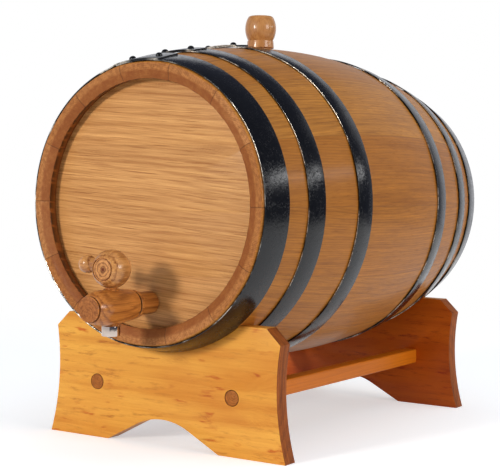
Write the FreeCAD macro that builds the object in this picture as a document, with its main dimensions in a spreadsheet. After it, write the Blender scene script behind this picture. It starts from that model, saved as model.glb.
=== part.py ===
import FreeCAD, Part
import os
import re
import Sketcher

# An oak cask liquor dispenser lying in its cradle. The cask's axis runs along Y with the tapped head
# towards -Y, Z is up and X is to the right of someone who faces the tap. The origin is on the floor,
# under the middle of the whole dispenser.

# ---------------------------------------------------------------------------------------------------
# Driving sizes in millimetres and degrees: alias, value, what it is
# ---------------------------------------------------------------------------------------------------
SIZES = [
    ("cask_length", 434, "end to end along the staves"),
    ("bilge_radius", 152.5, "outside radius at the middle of the belly"),
    ("chime_radius", 125, "outside radius at the ends of the staves"),
    ("stave_count", 14, "staves round the cask, one of them the bung stave"),
    ("stave_thickness", 18.5, "thickness of a stave along the belly"),
    ("chime_flat", 7, "flat end grain left on the chime"),
    ("chime_bevel_width", 8, "radial width of the bevel inside the chime"),
    ("chime_bevel_depth", 3.6, "depth of the bevel inside the chime"),
    ("howel_length", 4, "length of the hollow cut between the croze and the belly"),
    ("head_setback", 14.4, "depth of the head's face below the end of the staves"),
    ("chime_thickness", 12.5, "thickness of a stave end beside the head"),
    ("head_thickness", 16, "thickness of the head boards"),
    ("head_rim_thickness", 4, "thickness left at the head's bevelled rim"),
    ("croze_depth", 4, "how far the rim reaches into the staves"),
    ("croze_ease", 0.15, "clearance of the rim in its groove"),
    ("head_board_width", 57, "width of the two middle boards of a head"),
    ("head_joint_offset", -5, "height of the middle joint above the cask's axis"),
    ("head_pin_radius", 3, "radius of the pins that join the head boards"),
    ("head_pin_length", 24, "length of a head pin"),
    ("head_pin_spread", 45, "distance of each row of pins from the cask's middle plane"),
    ("pin_ease", 0.1, "clearance of a pin in its hole, at its side and at its end"),
    ("hoop_gauge", 1.2, "thickness of the hoop steel"),
    ("hoop_ease", 0.25, "clearance between a hoop and the staves"),
    ("chime_hoop_setback", 1.5, "bare wood between the end of the staves and the chime hoop"),
    ("chime_hoop_width", 29, "width of a chime hoop"),
    ("quarter_hoop_gap", 4.95, "clearance between a cradle plate and the quarter hoop"),
    ("quarter_hoop_width", 22.5, "width of a quarter hoop"),
    ("bilge_hoop_place", 81.4, "distance from mid-length to the middle of a bilge hoop"),
    ("bilge_hoop_width", 22, "width of a bilge hoop"),
    ("lap_length", 48, "overlap of a hoop's two ends"),
    ("lap_lean", -4.3, "angle from the top of the cask to the middle of the lap"),
    ("rivet_spacing", 29, "distance between the two rivets of a lap"),
    ("rivet_radius", 1.6, "radius of a rivet's shank"),
    ("rivet_ease", 0.05, "clearance of a rivet in its hole"),
    ("rivet_head_radius", 3.3, "radius of a rivet's head"),
    ("rivet_head_height", 2.6, "height of a rivet's head"),
    ("axis_height", 220, "height of the cask's axis above the floor"),
    ("cradle_hoop_gap", 2.3, "clearance between a cradle plate and the chime hoop"),
    ("cradle_thickness", 16, "thickness of a cradle plate"),
    ("cradle_horn_drop", 104.3, "distance of a plate's flat top below the cask's axis"),
    ("cradle_corner_reach", 124.5, "half-width of a plate below its cut corner"),
    ("cradle_corner_drop", 13.8, "height of the cut corner"),
    ("cradle_corner_cut", 14.5, "width of the cut corner"),
    ("cradle_foot_reach", 131.5, "half-width of a plate at the floor"),
    ("cradle_waist", 6, "how far the sides of a plate curve in"),
    ("cradle_arch_reach", 62, "half-width of the arch between the feet"),
    ("cradle_arch_rise", 24.5, "height of the arch between the feet"),
    ("cradle_arch_radius", 62, "radius of the arch's crown, where its straight flanks meet"),
    ("saddle_ease", 0.3, "clearance between the saddle and the staves"),
    ("rail_side", 15, "thickness of the cradle's two square rails"),
    ("rail_edge", 1.8, "rounding of a rail's long edges"),
    ("rail_shoulder", 0.2, "how far a rail's flats stand out over its round tenons"),
    ("rail_reach", 75.5, "distance of a rail from the middle plane"),
    ("rail_height", 52, "height of the rails above the floor"),
    ("rail_ease", 0.05, "clearance of a rail's tenons in their holes, and of its shoulders"),
    ("bung_place", 28, "distance from mid-length to the bung, towards the tap"),
    ("bung_seat_gap", 0.3, "clearance between the bung's collar and the stave"),
    ("bung_top_radius", 11.5, "radius of the bung's shank at the collar"),
    ("bung_tip_radius", 10.3, "radius of the bung's shank at its tip"),
    ("bung_shank", 28, "length of the bung's shank"),
    ("bung_ease", 0.08, "running clearance of the bung in its hole"),
    ("bung_collar_radius", 13.4, "radius of the bung's collar"),
    ("bung_collar_height", 7.2, "height of the bung's collar"),
    ("bung_neck_radius", 12, "radius of the neck under the bung's knob"),
    ("bung_knob_radius", 15.3, "largest radius of the bung's knob"),
    ("bung_knob_height", 24.4, "height of the bung's knob"),
    ("bung_crown_radius", 11.8, "radius of the knob's flat top"),
    ("tap_drop", 87.5, "distance of the tap's axis below the cask's axis"),
    ("tap_reach", 86.4, "how far the tap stands out of the head"),
    ("tap_shank_radius", 8, "radius of the tap's shank at the head's face"),
    ("tap_tip_radius", 7, "radius of the tap's shank at its tip"),
    ("tap_tip_reach", 10, "how far the shank stands out inside the cask"),
    ("tap_ease", 0.05, "clearance of the tap's shank in the head"),
    ("tap_collar_step", 2.3, "how far the collar stands out round the shank"),
    ("tap_collar_bevel", 0.8, "bevel on the collar's end against the head"),
    ("tap_collar_length", 24.5, "length of the collar from the head to the ring"),
    ("tap_ring_radius", 12.7, "radius of the ring between the collar and the barrel"),
    ("tap_ring_width", 4, "width of that ring"),
    ("tap_groove_width", 1.5, "width of the two grooves turned in the tap"),
    ("tap_groove_depth", 1.2, "depth of the two grooves turned in the tap"),
    ("tap_shoulder_radius", 13.4, "radius at the back of the tap's barrel"),
    ("tap_barrel_radius", 15.5, "largest radius of the tap's barrel"),
    ("tap_barrel_place", 68, "distance of the barrel's widest place from the head's face"),
    ("tap_front_radius", 11.6, "radius at the front of the tap's barrel"),
    ("tap_nose_radius", 11, "radius of the disc at the tap's end"),
    ("tap_nose_length", 1.4, "thickness of the disc at the tap's end"),
    ("flow_radius", 3, "radius of the passages that the liquid runs through"),
    ("port_radius", 2.7, "radius of the hole in the key's side"),
    ("key_bore_rise", 4.2, "height of the key's bore above the tap's axis"),
    ("key_place", 55.9, "distance of the key's axis from the head's face"),
    ("key_top_radius", 6.75, "radius of the key at the top of the tap's barrel"),
    ("key_bottom_radius", 5.75, "radius of the key at the bottom of the tap's barrel"),
    ("key_ease", 0.06, "running clearance of the key in the tap"),
    ("key_gap", 0.4, "clearance between the handle and the tap's barrel"),
    ("key_tenon_radius", 5, "radius of the key's tenon in the handle"),
    ("key_tenon_length", 14, "length of the key's tenon in the handle"),
    ("tenon_ease", 0.05, "clearance of a glued tenon"),
    ("handle_radius", 16.7, "radius of the ball on the key"),
    ("handle_flat_radius", 9.4, "radius of the flat turned on the ball's front"),
    ("handle_ring_width", 1, "width of the groove round that flat"),
    ("handle_ring_depth", 1.2, "depth of the groove round that flat"),
    ("peg_lift", 3, "height of the peg's axis above the ball's middle"),
    ("peg_neck_radius", 5.4, "radius of the peg where it leaves the ball"),
    ("peg_radius", 8, "radius of the ball that is the peg's knob"),
    ("peg_end_radius", 5, "radius of the flat end of the peg's knob"),
    ("peg_reach", 32.5, "distance of the peg's end from the key's axis"),
    ("peg_tenon_radius", 4, "radius of the peg's tenon in the ball"),
    ("peg_tenon_depth", 8, "how far the peg's tenon stops from the key's axis"),
    ("spout_wall", 2.25, "wall of the metal spout"),
    ("spout_length", 8.8, "length of the metal spout"),
    ("spout_gap", 0.5, "clearance between the spout and the tap's barrel"),
    ("spout_mouth", 4.3, "open length of the spout below the key"),
    ("spout_edge", 0.5, "bevel on the spout's lower edge"),
    ("saw_margin", 2, "how far a saw cut or a drilled hole runs past the wood"),
]

doc = FreeCAD.newDocument("oak_cask_dispenser")
sheet = doc.addObject("Spreadsheet::Sheet", "Sizes")
for row, (alias, value, meaning) in enumerate(SIZES, start=1):
    sheet.set(f"A{row}", meaning)
    sheet.set(f"B{row}", str(value))
    sheet.setAlias(f"B{row}", alias)
doc.recompute()

ALIASES = re.compile(r"\b(" + "|".join(alias for alias, _, _ in SIZES) + r")\b")
PARTS = []


# ---------------------------------------------------------------------------------------------------
# Helpers
# ---------------------------------------------------------------------------------------------------
def cells(text):
    """An expression in words, with each alias pointed at the sheet."""
    return ALIASES.sub(r"Sizes.\1", str(text))


def measure(text):
    """The number that an expression in words has at present."""
    result = sheet.evalExpression(cells(text))
    return float(getattr(result, "Value", result))


def place(piece, x=0, y=0, z=0, axis="0; 1; 0", angle=0):
    """Puts a piece at x, y, z from the cask's centre, turned about an axis."""
    spot = f"vector({cells(x)}; {cells(CASK_Y)} + {cells(y)}; Sizes.axis_height + {cells(z)})"
    piece.setExpression("Placement", f"placement({spot}; rotation(vector({axis}); {cells(angle)}))")


def keep(piece, name):
    """Gives a finished piece its name and lists it for export."""
    piece.Label = name
    PARTS.append(piece)
    return piece


def plane(body, role):
    """One of a body's own origin planes, such as XY_Plane."""
    return next(item for item in body.Origin.OriginFeatures if item.Role == role)


def outline(body, role, corners, arcs=None, offset=None):
    """A closed sketch through the corners, each a pair of expressions. Where arcs names a corner's
    number, the edge that leaves it is an arc: arcs gives the side of the edge on which its centre
    lies, left or right, and its radius."""
    arcs = arcs or {}
    sketch = body.newObject("Sketcher::SketchObject", f"{body.Name}_outline")
    sketch.AttachmentSupport = (plane(body, role), [""])
    sketch.MapMode = "FlatFace"
    if offset is not None:
        sketch.setExpression("AttachmentOffset.Base.z", cells(offset))
    spots = [FreeCAD.Vector(measure(across), measure(up), 0) for across, up in corners]
    count = len(spots)
    starts = []
    for index, start in enumerate(spots):
        end = spots[(index + 1) % count]
        if index not in arcs:
            edge = sketch.addGeometry(Part.LineSegment(start, end), False)
            starts.append((edge, 1, 2))
            continue
        side = 1 if arcs[index][0] == "left" else -1
        radius = measure(arcs[index][1])
        chord = end - start
        reach = (radius ** 2 - (chord.Length / 2) ** 2) ** 0.5
        normal = FreeCAD.Vector(-chord.y, chord.x, 0).normalize() * side
        centre = (start + end) * 0.5 + normal * reach
        middle = centre - normal * radius
        edge = sketch.addGeometry(Part.Arc(start, middle, end), False)
        at_start = (sketch.getPoint(edge, 1) - start).Length < (sketch.getPoint(edge, 1) - end).Length
        starts.append((edge, 1, 2) if at_start else (edge, 2, 1))
    for index, (edge, _, last) in enumerate(starts):
        following, first, _ = starts[(index + 1) % count]
        sketch.addConstraint(Sketcher.Constraint("Coincident", edge, last, following, first))
    for index, (across, up) in enumerate(corners):
        edge, first, _ = starts[index]
        for kind, text, value in (("DistanceX", across, spots[index].x), ("DistanceY", up, spots[index].y)):
            number = sketch.addConstraint(Sketcher.Constraint(kind, -1, 1, edge, first, value))
            sketch.setExpression(f"Constraints[{number}]", cells(text))
    for index, (_, radius) in arcs.items():
        number = sketch.addConstraint(Sketcher.Constraint("Radius", starts[index][0], measure(radius)))
        sketch.setExpression(f"Constraints[{number}]", cells(radius))
    return sketch


def turned(name, role, axis, corners, arcs=None, angle=360):
    """A body turned about the sketch's horizontal or vertical axis."""
    body = doc.addObject("PartDesign::Body", name)
    sketch = outline(body, role, corners, arcs)
    turn = body.newObject("PartDesign::Revolution", f"{name}_turn")
    turn.Profile = sketch
    turn.ReferenceAxis = (sketch, [axis])
    turn.Midplane = True
    turn.setExpression("Angle", cells(angle))
    return body


def rod(name, radius, length):
    """A round rod along its own Z."""
    piece = doc.addObject("Part::Cylinder", name)
    piece.setExpression("Radius", cells(radius))
    piece.setExpression("Height", cells(length))
    return piece


def taper(name, bottom, top, length):
    """A tapered rod along its own Z."""
    piece = doc.addObject("Part::Cone", name)
    piece.setExpression("Radius1", cells(bottom))
    piece.setExpression("Radius2", cells(top))
    piece.setExpression("Height", cells(length))
    return piece


def bored(name, blank, *cutters):
    """A blank with holes cut in it."""
    tool = cutters[0]
    if len(cutters) > 1:
        tool = doc.addObject("Part::MultiFuse", f"{name}_cutters")
        tool.Shapes = list(cutters)
    piece = doc.addObject("Part::Cut", f"{name}_bored")
    piece.Base = blank
    piece.Tool = tool
    return keep(piece, name)


# ---------------------------------------------------------------------------------------------------
# The cask's lines
# ---------------------------------------------------------------------------------------------------
# The tap stands out in front, so the cask's own centre lies behind the origin by half of that.
CASK_Y = "(tap_reach - head_setback) / 2"
END = "(cask_length / 2)"
SWELL = "(bilge_radius - chime_radius)"
# The staves bend to one arc, from chime to chime through the bilge.
BEND = f"(({END} ^ 2 + {SWELL} ^ 2) / (2 * {SWELL}))"


def skin(distance, depth=0):
    """Radius of the cask at a distance from mid-length, or a depth under that in the wood."""
    return f"(bilge_radius - {BEND} + sqrt(({BEND} - {depth}) ^ 2 - ({distance}) ^ 2))"


HEAD_RADIUS = "(chime_radius - chime_thickness)"
HEAD_FACE = f"({END} - head_setback)"
HEAD_BACK = f"({HEAD_FACE} - head_thickness)"
HEAD_MIDDLE = f"({HEAD_FACE} - head_thickness / 2)"
LIP_RADIUS = "(chime_radius - chime_flat - chime_bevel_width)"
BELLY_END = f"({HEAD_BACK} - howel_length)"


# ---------------------------------------------------------------------------------------------------
# Staves: each is a slice of the turned shell, with a bevelled chime and a croze at both ends
# ---------------------------------------------------------------------------------------------------
def stave_corners():
    mouth = f"({HEAD_FACE} + croze_ease)"
    slope = "((head_thickness - head_rim_thickness) / 2)"
    floor = f"({HEAD_RADIUS} + croze_depth + croze_ease)"
    half = [
        (END, "chime_radius"),
        (END, "(chime_radius - chime_flat)"),
        (f"({END} - chime_bevel_depth)", LIP_RADIUS),
        (mouth, HEAD_RADIUS),
        (f"({mouth} - {slope})", floor),
        (f"({HEAD_BACK} - croze_ease + {slope})", floor),
        (f"({HEAD_BACK} - croze_ease)", HEAD_RADIUS),
        (BELLY_END, skin(BELLY_END, "stave_thickness")),
    ]
    mirrored = [(f"(0 - {along})", radius) for along, radius in reversed(half)]
    return half + mirrored


STAVE_CORNERS = stave_corners()
STAVE_ARCS = {
    len(STAVE_CORNERS) // 2 - 1: ("left", f"{BEND} - stave_thickness"),
    len(STAVE_CORNERS) - 1: ("right", BEND),
}
# The bung's collar clears the stave where the stave rises towards mid-length.
BUNG_SEAT = f"({skin('(bung_place - bung_collar_radius)')} + bung_seat_gap)"

for number in range(int(round(measure("stave_count")))):
    name = f"stave_{number + 1:02d}" if number else "bung_stave"
    stave = turned(f"{name}_blank", "YZ_Plane", "H_Axis", STAVE_CORNERS, STAVE_ARCS, "360 / stave_count")
    place(stave, angle=f"{number} * 360 / stave_count")
    if number:
        keep(stave, name)
        continue
    bung_hole = taper("bung_hole", "bung_tip_radius + bung_ease", "bung_top_radius + bung_ease", "bung_shank")
    place(bung_hole, y="(0 - bung_place)", z=f"({BUNG_SEAT} - bung_shank)")
    bored(name, stave, bung_hole)


# ---------------------------------------------------------------------------------------------------
# Heads: boards sawn from one disc, pinned edge to edge, with a rim bevelled to fit the croze
# ---------------------------------------------------------------------------------------------------
JOINTS = [f"(head_joint_offset + {step} * head_board_width)" for step in (-1, 0, 1)]
RIM = f"({HEAD_RADIUS} + croze_depth)"
DISC_CORNERS = [
    (HEAD_BACK, "0"),
    (HEAD_FACE, "0"),
    (HEAD_FACE, HEAD_RADIUS),
    (f"({HEAD_MIDDLE} + head_rim_thickness / 2)", RIM),
    (f"({HEAD_MIDDLE} - head_rim_thickness / 2)", RIM),
    (HEAD_BACK, HEAD_RADIUS),
]
TAP_Z = "(0 - tap_drop)"
TAP_SHANK = "(head_thickness + tap_tip_reach)"


def head(end, sign):
    """Four boards and their pins. The sign is 1 at the back of the cask and -1 at the tap."""
    corners = [(f"({sign} * {along})", radius) for along, radius in DISC_CORNERS]
    disc = turned(f"{end}_head_disc", "YZ_Plane", "H_Axis", corners)
    place(disc)
    cutters = []
    pins = []
    for joint in JOINTS:
        for side in (-1, 1):
            tag = f"{end}_pin_{len(pins)}"
            spot = dict(x=f"({side} * head_pin_spread)", y=f"({sign} * {HEAD_MIDDLE})")
            pin = rod(tag, "head_pin_radius", "head_pin_length")
            place(pin, z=f"({joint} - head_pin_length / 2)", **spot)
            hole = rod(f"{tag}_hole", "head_pin_radius + pin_ease", "head_pin_length + 2 * pin_ease")
            place(hole, z=f"({joint} - head_pin_length / 2 - pin_ease)", **spot)
            pins.append(pin)
            cutters.append(hole)
    if sign < 0:
        hole = taper("tap_hole", "tap_tip_radius + tap_ease", "tap_shank_radius + tap_ease", TAP_SHANK)
        place(hole, y=f"({TAP_SHANK} - {HEAD_FACE})", z=TAP_Z, axis="1; 0; 0", angle=90)
        cutters.append(hole)
    reach = f"({RIM} + saw_margin)"
    levels = [f"(0 - {reach})"] + JOINTS + [reach]
    for number, (low, high) in enumerate(zip(levels, levels[1:]), start=1):
        slab = doc.addObject("Part::Box", f"{end}_slab_{number}")
        slab.setExpression("Length", cells(f"2 * {reach}"))
        slab.setExpression("Width", cells("head_thickness"))
        slab.setExpression("Height", cells(f"{high} - {low}"))
        place(slab, x=f"(0 - {reach})", y=f"({sign} * {HEAD_MIDDLE} - head_thickness / 2)", z=low)
        board = doc.addObject("Part::Common", f"{end}_board_{number}")
        board.Base = disc
        board.Tool = slab
        bored(f"{end}_head_board_{number}", board, *cutters)
    group = doc.addObject("Part::Compound", f"{end}_pins")
    group.Links = pins
    keep(group, f"{end}_head_pins")


head("front", -1)
head("rear", 1)


# ---------------------------------------------------------------------------------------------------
# Hoops: bands of steel with lapped ends, each closed by two rivets
# ---------------------------------------------------------------------------------------------------
# A cradle plate stands between the chime hoop and the quarter hoop.
CHIME_HOOP_PLACE = f"({END} - chime_hoop_setback - chime_hoop_width / 2)"
PLATE_OUTER = f"({END} - chime_hoop_setback - chime_hoop_width - cradle_hoop_gap)"
PLATE_INNER = f"({PLATE_OUTER} - cradle_thickness)"
QUARTER_HOOP_PLACE = f"({PLATE_INNER} - quarter_hoop_gap - quarter_hoop_width / 2)"
HOOPS = [
    ("chime", CHIME_HOOP_PLACE, "chime_hoop_width"),
    ("quarter", QUARTER_HOOP_PLACE, "quarter_hoop_width"),
    ("bilge", "bilge_hoop_place", "bilge_hoop_width"),
]


def band_corners(sign, middle, width, layer):
    """Section of a band, in its first layer against the staves or the next one over it."""
    corners = []
    for edge, rise in ((-1, layer), (1, layer), (1, layer + 1), (-1, layer + 1)):
        along = f"({middle} + {edge} * {width} / 2)"
        corners.append((f"({sign} * {along})", f"({skin(along)} + hoop_ease + {rise} * hoop_gauge)"))
    return corners


def rivet_frame(sign, middle, width, side):
    """Where a rivet stands, in the tilted frame of the band: place of its foot and its two turns."""
    near = f"({middle} - {width} / 2)"
    far = f"({middle} + {width} / 2)"
    foot = f"(({skin(near)} + {skin(far)}) / 2 + hoop_ease)"
    lean = f"(lap_lean + {side} * rivet_spacing / {foot} / 2 * 180 / pi)"
    tilt = f"({-sign} * (asin({near} / {BEND}) + asin({far} / {BEND})) / 2)"
    return foot, lean, tilt


def stand_on_band(piece, sign, middle, foot, lean, tilt, rise=0):
    """Stands a piece on the band, its own Z pointing straight out of the steel, raised along it."""
    spot = (f"vector({cells(foot)} * sin({cells(lean)}); {cells(CASK_Y)} + {sign} * {cells(middle)};"
            f" Sizes.axis_height + {cells(foot)} * cos({cells(lean)}))")
    round_cask = f"rotation(vector(0; 1; 0); {cells(lean)})"
    along_cask = f"rotation(vector(1; 0; 0); {cells(tilt)})"
    lift = f"placement(vector(0; 0; {cells(rise)}); rotation(vector(0; 0; 1); 0))"
    piece.setExpression("Placement", f"placement({spot}; {round_cask} * {along_cask}) * {lift}")


rivets = []
for end, sign in (("front", -1), ("rear", 1)):
    for kind, middle, width in HOOPS:
        name = f"{end}_{kind}_hoop"
        band = turned(f"{name}_band", "YZ_Plane", "H_Axis", band_corners(sign, middle, width, 0))
        lap_sketch = outline(band, "YZ_Plane", band_corners(sign, middle, width, 1))
        lap = band.newObject("PartDesign::Revolution", f"{name}_lap")
        lap.Profile = lap_sketch
        lap.ReferenceAxis = (lap_sketch, ["H_Axis"])
        lap.Midplane = True
        lap.setExpression("Angle", cells(f"lap_length / {skin(middle)} * 180 / pi"))
        place(band, angle="lap_lean")
        holes = []
        for side in (-1, 1):
            foot, lean, tilt = rivet_frame(sign, middle, width, side)
            tag = f"{name}_{'left' if side < 0 else 'right'}"
            shank = rod(f"{tag}_shank", "rivet_radius", "2 * hoop_gauge")
            stand_on_band(shank, sign, middle, foot, lean, tilt)
            dome = doc.addObject("Part::Ellipsoid", f"{tag}_dome")
            dome.setExpression("Radius1", cells("rivet_head_height"))
            dome.setExpression("Radius2", cells("rivet_head_radius"))
            dome.Angle1 = 0
            stand_on_band(dome, sign, middle, foot, lean, tilt, "2 * hoop_gauge")
            rivet = doc.addObject("Part::Fuse", f"{tag}_rivet")
            rivet.Base = shank
            rivet.Tool = dome
            rivets.append(rivet)
            hole = rod(f"{tag}_hole", "rivet_radius + rivet_ease", "2 * hoop_gauge + 2 * saw_margin")
            stand_on_band(hole, sign, middle, foot, lean, tilt, "(0 - saw_margin)")
            holes.append(hole)
        bored(name, band, *holes)

rivet_group = doc.addObject("Part::Compound", "rivets")
rivet_group.Links = rivets
keep(rivet_group, "hoop_rivets")


# ---------------------------------------------------------------------------------------------------
# Tap: a turned body driven into the head, with a key that turns in it and carries the spout
# ---------------------------------------------------------------------------------------------------
BARREL_BACK = "(tap_collar_length + tap_ring_width + tap_groove_width)"
BARREL_FRONT = "(tap_reach - tap_nose_length - tap_groove_width)"
BACK_FALL = "(tap_barrel_radius - tap_shoulder_radius)"
FRONT_FALL = "(tap_barrel_radius - tap_front_radius)"


def tap_corners():
    """The body's outline, from its inner tip to its nose: distance out of the head's face, radius."""
    collar = "(tap_shank_radius + tap_collar_step)"
    ring = "(tap_collar_length + tap_ring_width)"
    nose = "(tap_reach - tap_nose_length)"
    points = [
        (f"(0 - {TAP_SHANK})", "0"),
        (f"(0 - {TAP_SHANK})", "tap_tip_radius"),
        ("0", "tap_shank_radius"),
        ("0", f"({collar} - tap_collar_bevel)"),
        ("tap_collar_bevel", collar),
        ("tap_collar_length", collar),
        ("tap_collar_length", "tap_ring_radius"),
        (ring, "tap_ring_radius"),
        (ring, "(tap_ring_radius - tap_groove_depth)"),
        (BARREL_BACK, "(tap_ring_radius - tap_groove_depth)"),
        (BARREL_BACK, "tap_shoulder_radius"),
        ("tap_barrel_place", "tap_barrel_radius"),
        (BARREL_FRONT, "tap_front_radius"),
        (BARREL_FRONT, "(tap_nose_radius - tap_groove_depth)"),
        (nose, "(tap_nose_radius - tap_groove_depth)"),
        (nose, "tap_nose_radius"),
        ("tap_reach", "tap_nose_radius"),
        ("tap_reach", "0"),
    ]
    return [(f"(0 - {HEAD_FACE} - {out})", radius) for out, radius in points]


def arc_radius(length, rise):
    """Radius of an arc from its chord's length and the rise of its middle."""
    return f"(({length}) ^ 2 / (8 * ({rise})) + ({rise}) / 2)"


def level_arc(length, fall):
    """Radius of an arc that starts level and falls this far over this length."""
    return f"(({length} ^ 2 + {fall} ^ 2) / (2 * {fall}))"


# The barrel is two arcs that meet level at its widest place.
TAP_ARCS = {
    10: ("left", level_arc(f"(tap_barrel_place - {BARREL_BACK})", BACK_FALL)),
    11: ("left", level_arc(f"({BARREL_FRONT} - tap_barrel_place)", FRONT_FALL)),
}
KEY_Y = f"(0 - {HEAD_FACE} - key_place)"
KEY_TAPER = "((key_top_radius - key_bottom_radius) / (2 * tap_barrel_radius))"

tap_blank = turned("tap_blank", "YZ_Plane", "H_Axis", tap_corners(), TAP_ARCS)
place(tap_blank, z=TAP_Z)
tap_flow = rod("tap_flow", "flow_radius", f"{TAP_SHANK} + key_place")
place(tap_flow, y=KEY_Y, z=TAP_Z, axis="1; 0; 0", angle=-90)
key_hole = taper("key_hole", f"key_bottom_radius + key_ease - {KEY_TAPER} * saw_margin",
                 f"key_top_radius + key_ease + {KEY_TAPER} * saw_margin",
                 "2 * (tap_barrel_radius + saw_margin)")
place(key_hole, y=KEY_Y, z=f"({TAP_Z} - tap_barrel_radius - saw_margin)")
bored("tap_body", tap_blank, tap_flow, key_hole)

# The key's own outline is drawn from the tap's axis: distance from the key's axis, height.
BALL_Z = "(tap_barrel_radius + key_gap + handle_radius)"
TENON_FLOOR = "(tap_barrel_radius + key_gap / 2)"
SPOUT_TOP = "(0 - tap_barrel_radius - spout_gap)"
KEY_FOOT = f"({SPOUT_TOP} - spout_length + spout_mouth)"
KEY_CORNERS = [
    ("flow_radius", KEY_FOOT),
    ("(key_bottom_radius - tenon_ease)", KEY_FOOT),
    ("(key_bottom_radius - tenon_ease)", SPOUT_TOP),
    ("key_bottom_radius", "(0 - tap_barrel_radius)"),
    ("key_top_radius", "tap_barrel_radius"),
    ("key_tenon_radius", TENON_FLOOR),
    ("key_tenon_radius", f"({TENON_FLOOR} + key_tenon_length)"),
    ("0", f"({TENON_FLOOR} + key_tenon_length)"),
    ("0", "key_bore_rise"),
    ("flow_radius", "key_bore_rise"),
]
key_blank = turned("key_blank", "XZ_Plane", "V_Axis", KEY_CORNERS)
place(key_blank, y=KEY_Y, z=TAP_Z)
key_port = rod("key_port", "port_radius", "2 * key_top_radius")
place(key_port, y=KEY_Y, z=TAP_Z, axis="1; 0; 0", angle=-90)
bored("tap_key", key_blank, key_port)

# The ball is turned about the Y axis through its own middle, with a ringed flat to the front. The
# peg's neck sits on a flat bored in the ball's side.
FLAT_OUT = "sqrt(handle_radius ^ 2 - (handle_flat_radius + handle_ring_width) ^ 2)"
HANDLE_CORNERS = [
    (f"(0 - {FLAT_OUT})", "0"),
    (f"(0 - {FLAT_OUT})", "handle_flat_radius"),
    (f"(handle_ring_depth - {FLAT_OUT})", "handle_flat_radius"),
    (f"(handle_ring_depth - {FLAT_OUT})", "(handle_flat_radius + handle_ring_width)"),
    (f"(0 - {FLAT_OUT})", "(handle_flat_radius + handle_ring_width)"),
    ("0", "handle_radius"),
    ("handle_radius", "0"),
]
HANDLE_ARCS = {4: ("right", "handle_radius"), 5: ("right", "handle_radius")}
handle_blank = turned("handle_blank", "YZ_Plane", "H_Axis", HANDLE_CORNERS, HANDLE_ARCS)
place(handle_blank, y=KEY_Y, z=f"({TAP_Z} + {BALL_Z})")
tenon_hole = rod("tenon_hole", "key_tenon_radius + tenon_ease", f"key_tenon_length + {TENON_FLOOR}")
place(tenon_hole, y=KEY_Y, z=f"({TAP_Z} + tenon_ease)")
PEG_Z = f"({TAP_Z} + {BALL_Z} + peg_lift)"
peg_hole = rod("peg_hole", "peg_tenon_radius + tenon_ease", "2 * handle_radius")
place(peg_hole, x="(tenon_ease - peg_tenon_depth)", y=KEY_Y, z=PEG_Z, axis="0; 1; 0", angle=-90)
PEG_SEAT = "sqrt(handle_radius ^ 2 - (peg_lift + peg_neck_radius) ^ 2)"
peg_seat = rod("peg_seat", "peg_neck_radius + tenon_ease", "handle_radius")
place(peg_seat, x=f"(0 - {PEG_SEAT})", y=KEY_Y, z=PEG_Z, axis="0; 1; 0", angle=-90)
bored("tap_handle", handle_blank, tenon_hole, peg_hole, peg_seat)

# The peg is turned about the X axis: distance from the key's axis, radius. Its knob is a round ball
# with a flat end.
PEG_SHOULDER = f"({PEG_SEAT} + tenon_ease)"
PEG_BALL = "(peg_reach - sqrt(peg_radius ^ 2 - peg_end_radius ^ 2))"
PEG_NECK_END = f"({PEG_BALL} - sqrt(peg_radius ^ 2 - peg_neck_radius ^ 2))"
PEG_CORNERS = [
    ("(0 - peg_tenon_depth)", "0"),
    ("(0 - peg_tenon_depth)", "peg_tenon_radius"),
    (f"(0 - {PEG_SHOULDER})", "peg_tenon_radius"),
    (f"(0 - {PEG_SHOULDER})", "peg_neck_radius"),
    (f"(0 - {PEG_NECK_END})", "peg_neck_radius"),
    (f"(0 - {PEG_BALL})", "peg_radius"),
    ("(0 - peg_reach)", "peg_end_radius"),
    ("(0 - peg_reach)", "0"),
]
PEG_ARCS = {4: ("left", "peg_radius"), 5: ("left", "peg_radius")}
peg = turned("peg", "XZ_Plane", "H_Axis", PEG_CORNERS, PEG_ARCS)
place(peg, y=KEY_Y, z=PEG_Z)
keep(peg, "tap_handle_peg")

SPOUT_RADIUS = "(key_bottom_radius + spout_wall)"
SPOUT_FOOT = f"({SPOUT_TOP} - spout_length)"
SPOUT_CORNERS = [
    ("key_bottom_radius", SPOUT_TOP),
    (SPOUT_RADIUS, SPOUT_TOP),
    (SPOUT_RADIUS, f"({SPOUT_FOOT} + spout_edge)"),
    (f"({SPOUT_RADIUS} - spout_edge)", SPOUT_FOOT),
    ("key_bottom_radius", SPOUT_FOOT),
]
spout = turned("spout", "XZ_Plane", "V_Axis", SPOUT_CORNERS)
place(spout, y=KEY_Y, z=TAP_Z)
keep(spout, "tap_spout")


# ---------------------------------------------------------------------------------------------------
# Bung: a turned stopper with a knob, drawn from its collar's seat: distance from its axis, height
# ---------------------------------------------------------------------------------------------------
BUNG_TOP = "(bung_collar_height + bung_knob_height)"
KNOB_CHORD = "sqrt(bung_knob_height ^ 2 + (bung_neck_radius - bung_crown_radius) ^ 2)"
KNOB_RISE = "(bung_knob_radius - (bung_neck_radius + bung_crown_radius) / 2)"
BUNG_CORNERS = [
    ("0", "(0 - bung_shank)"),
    ("bung_tip_radius", "(0 - bung_shank)"),
    ("bung_top_radius", "0"),
    ("bung_collar_radius", "0"),
    ("bung_collar_radius", "bung_collar_height"),
    ("bung_neck_radius", "bung_collar_height"),
    ("bung_crown_radius", BUNG_TOP),
    ("0", BUNG_TOP),
]
BUNG_ARCS = {5: ("left", arc_radius(KNOB_CHORD, KNOB_RISE))}
bung = turned("bung_turning", "XZ_Plane", "V_Axis", BUNG_CORNERS, BUNG_ARCS)
place(bung, y="(0 - bung_place)", z=BUNG_SEAT)
keep(bung, "bung")


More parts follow.
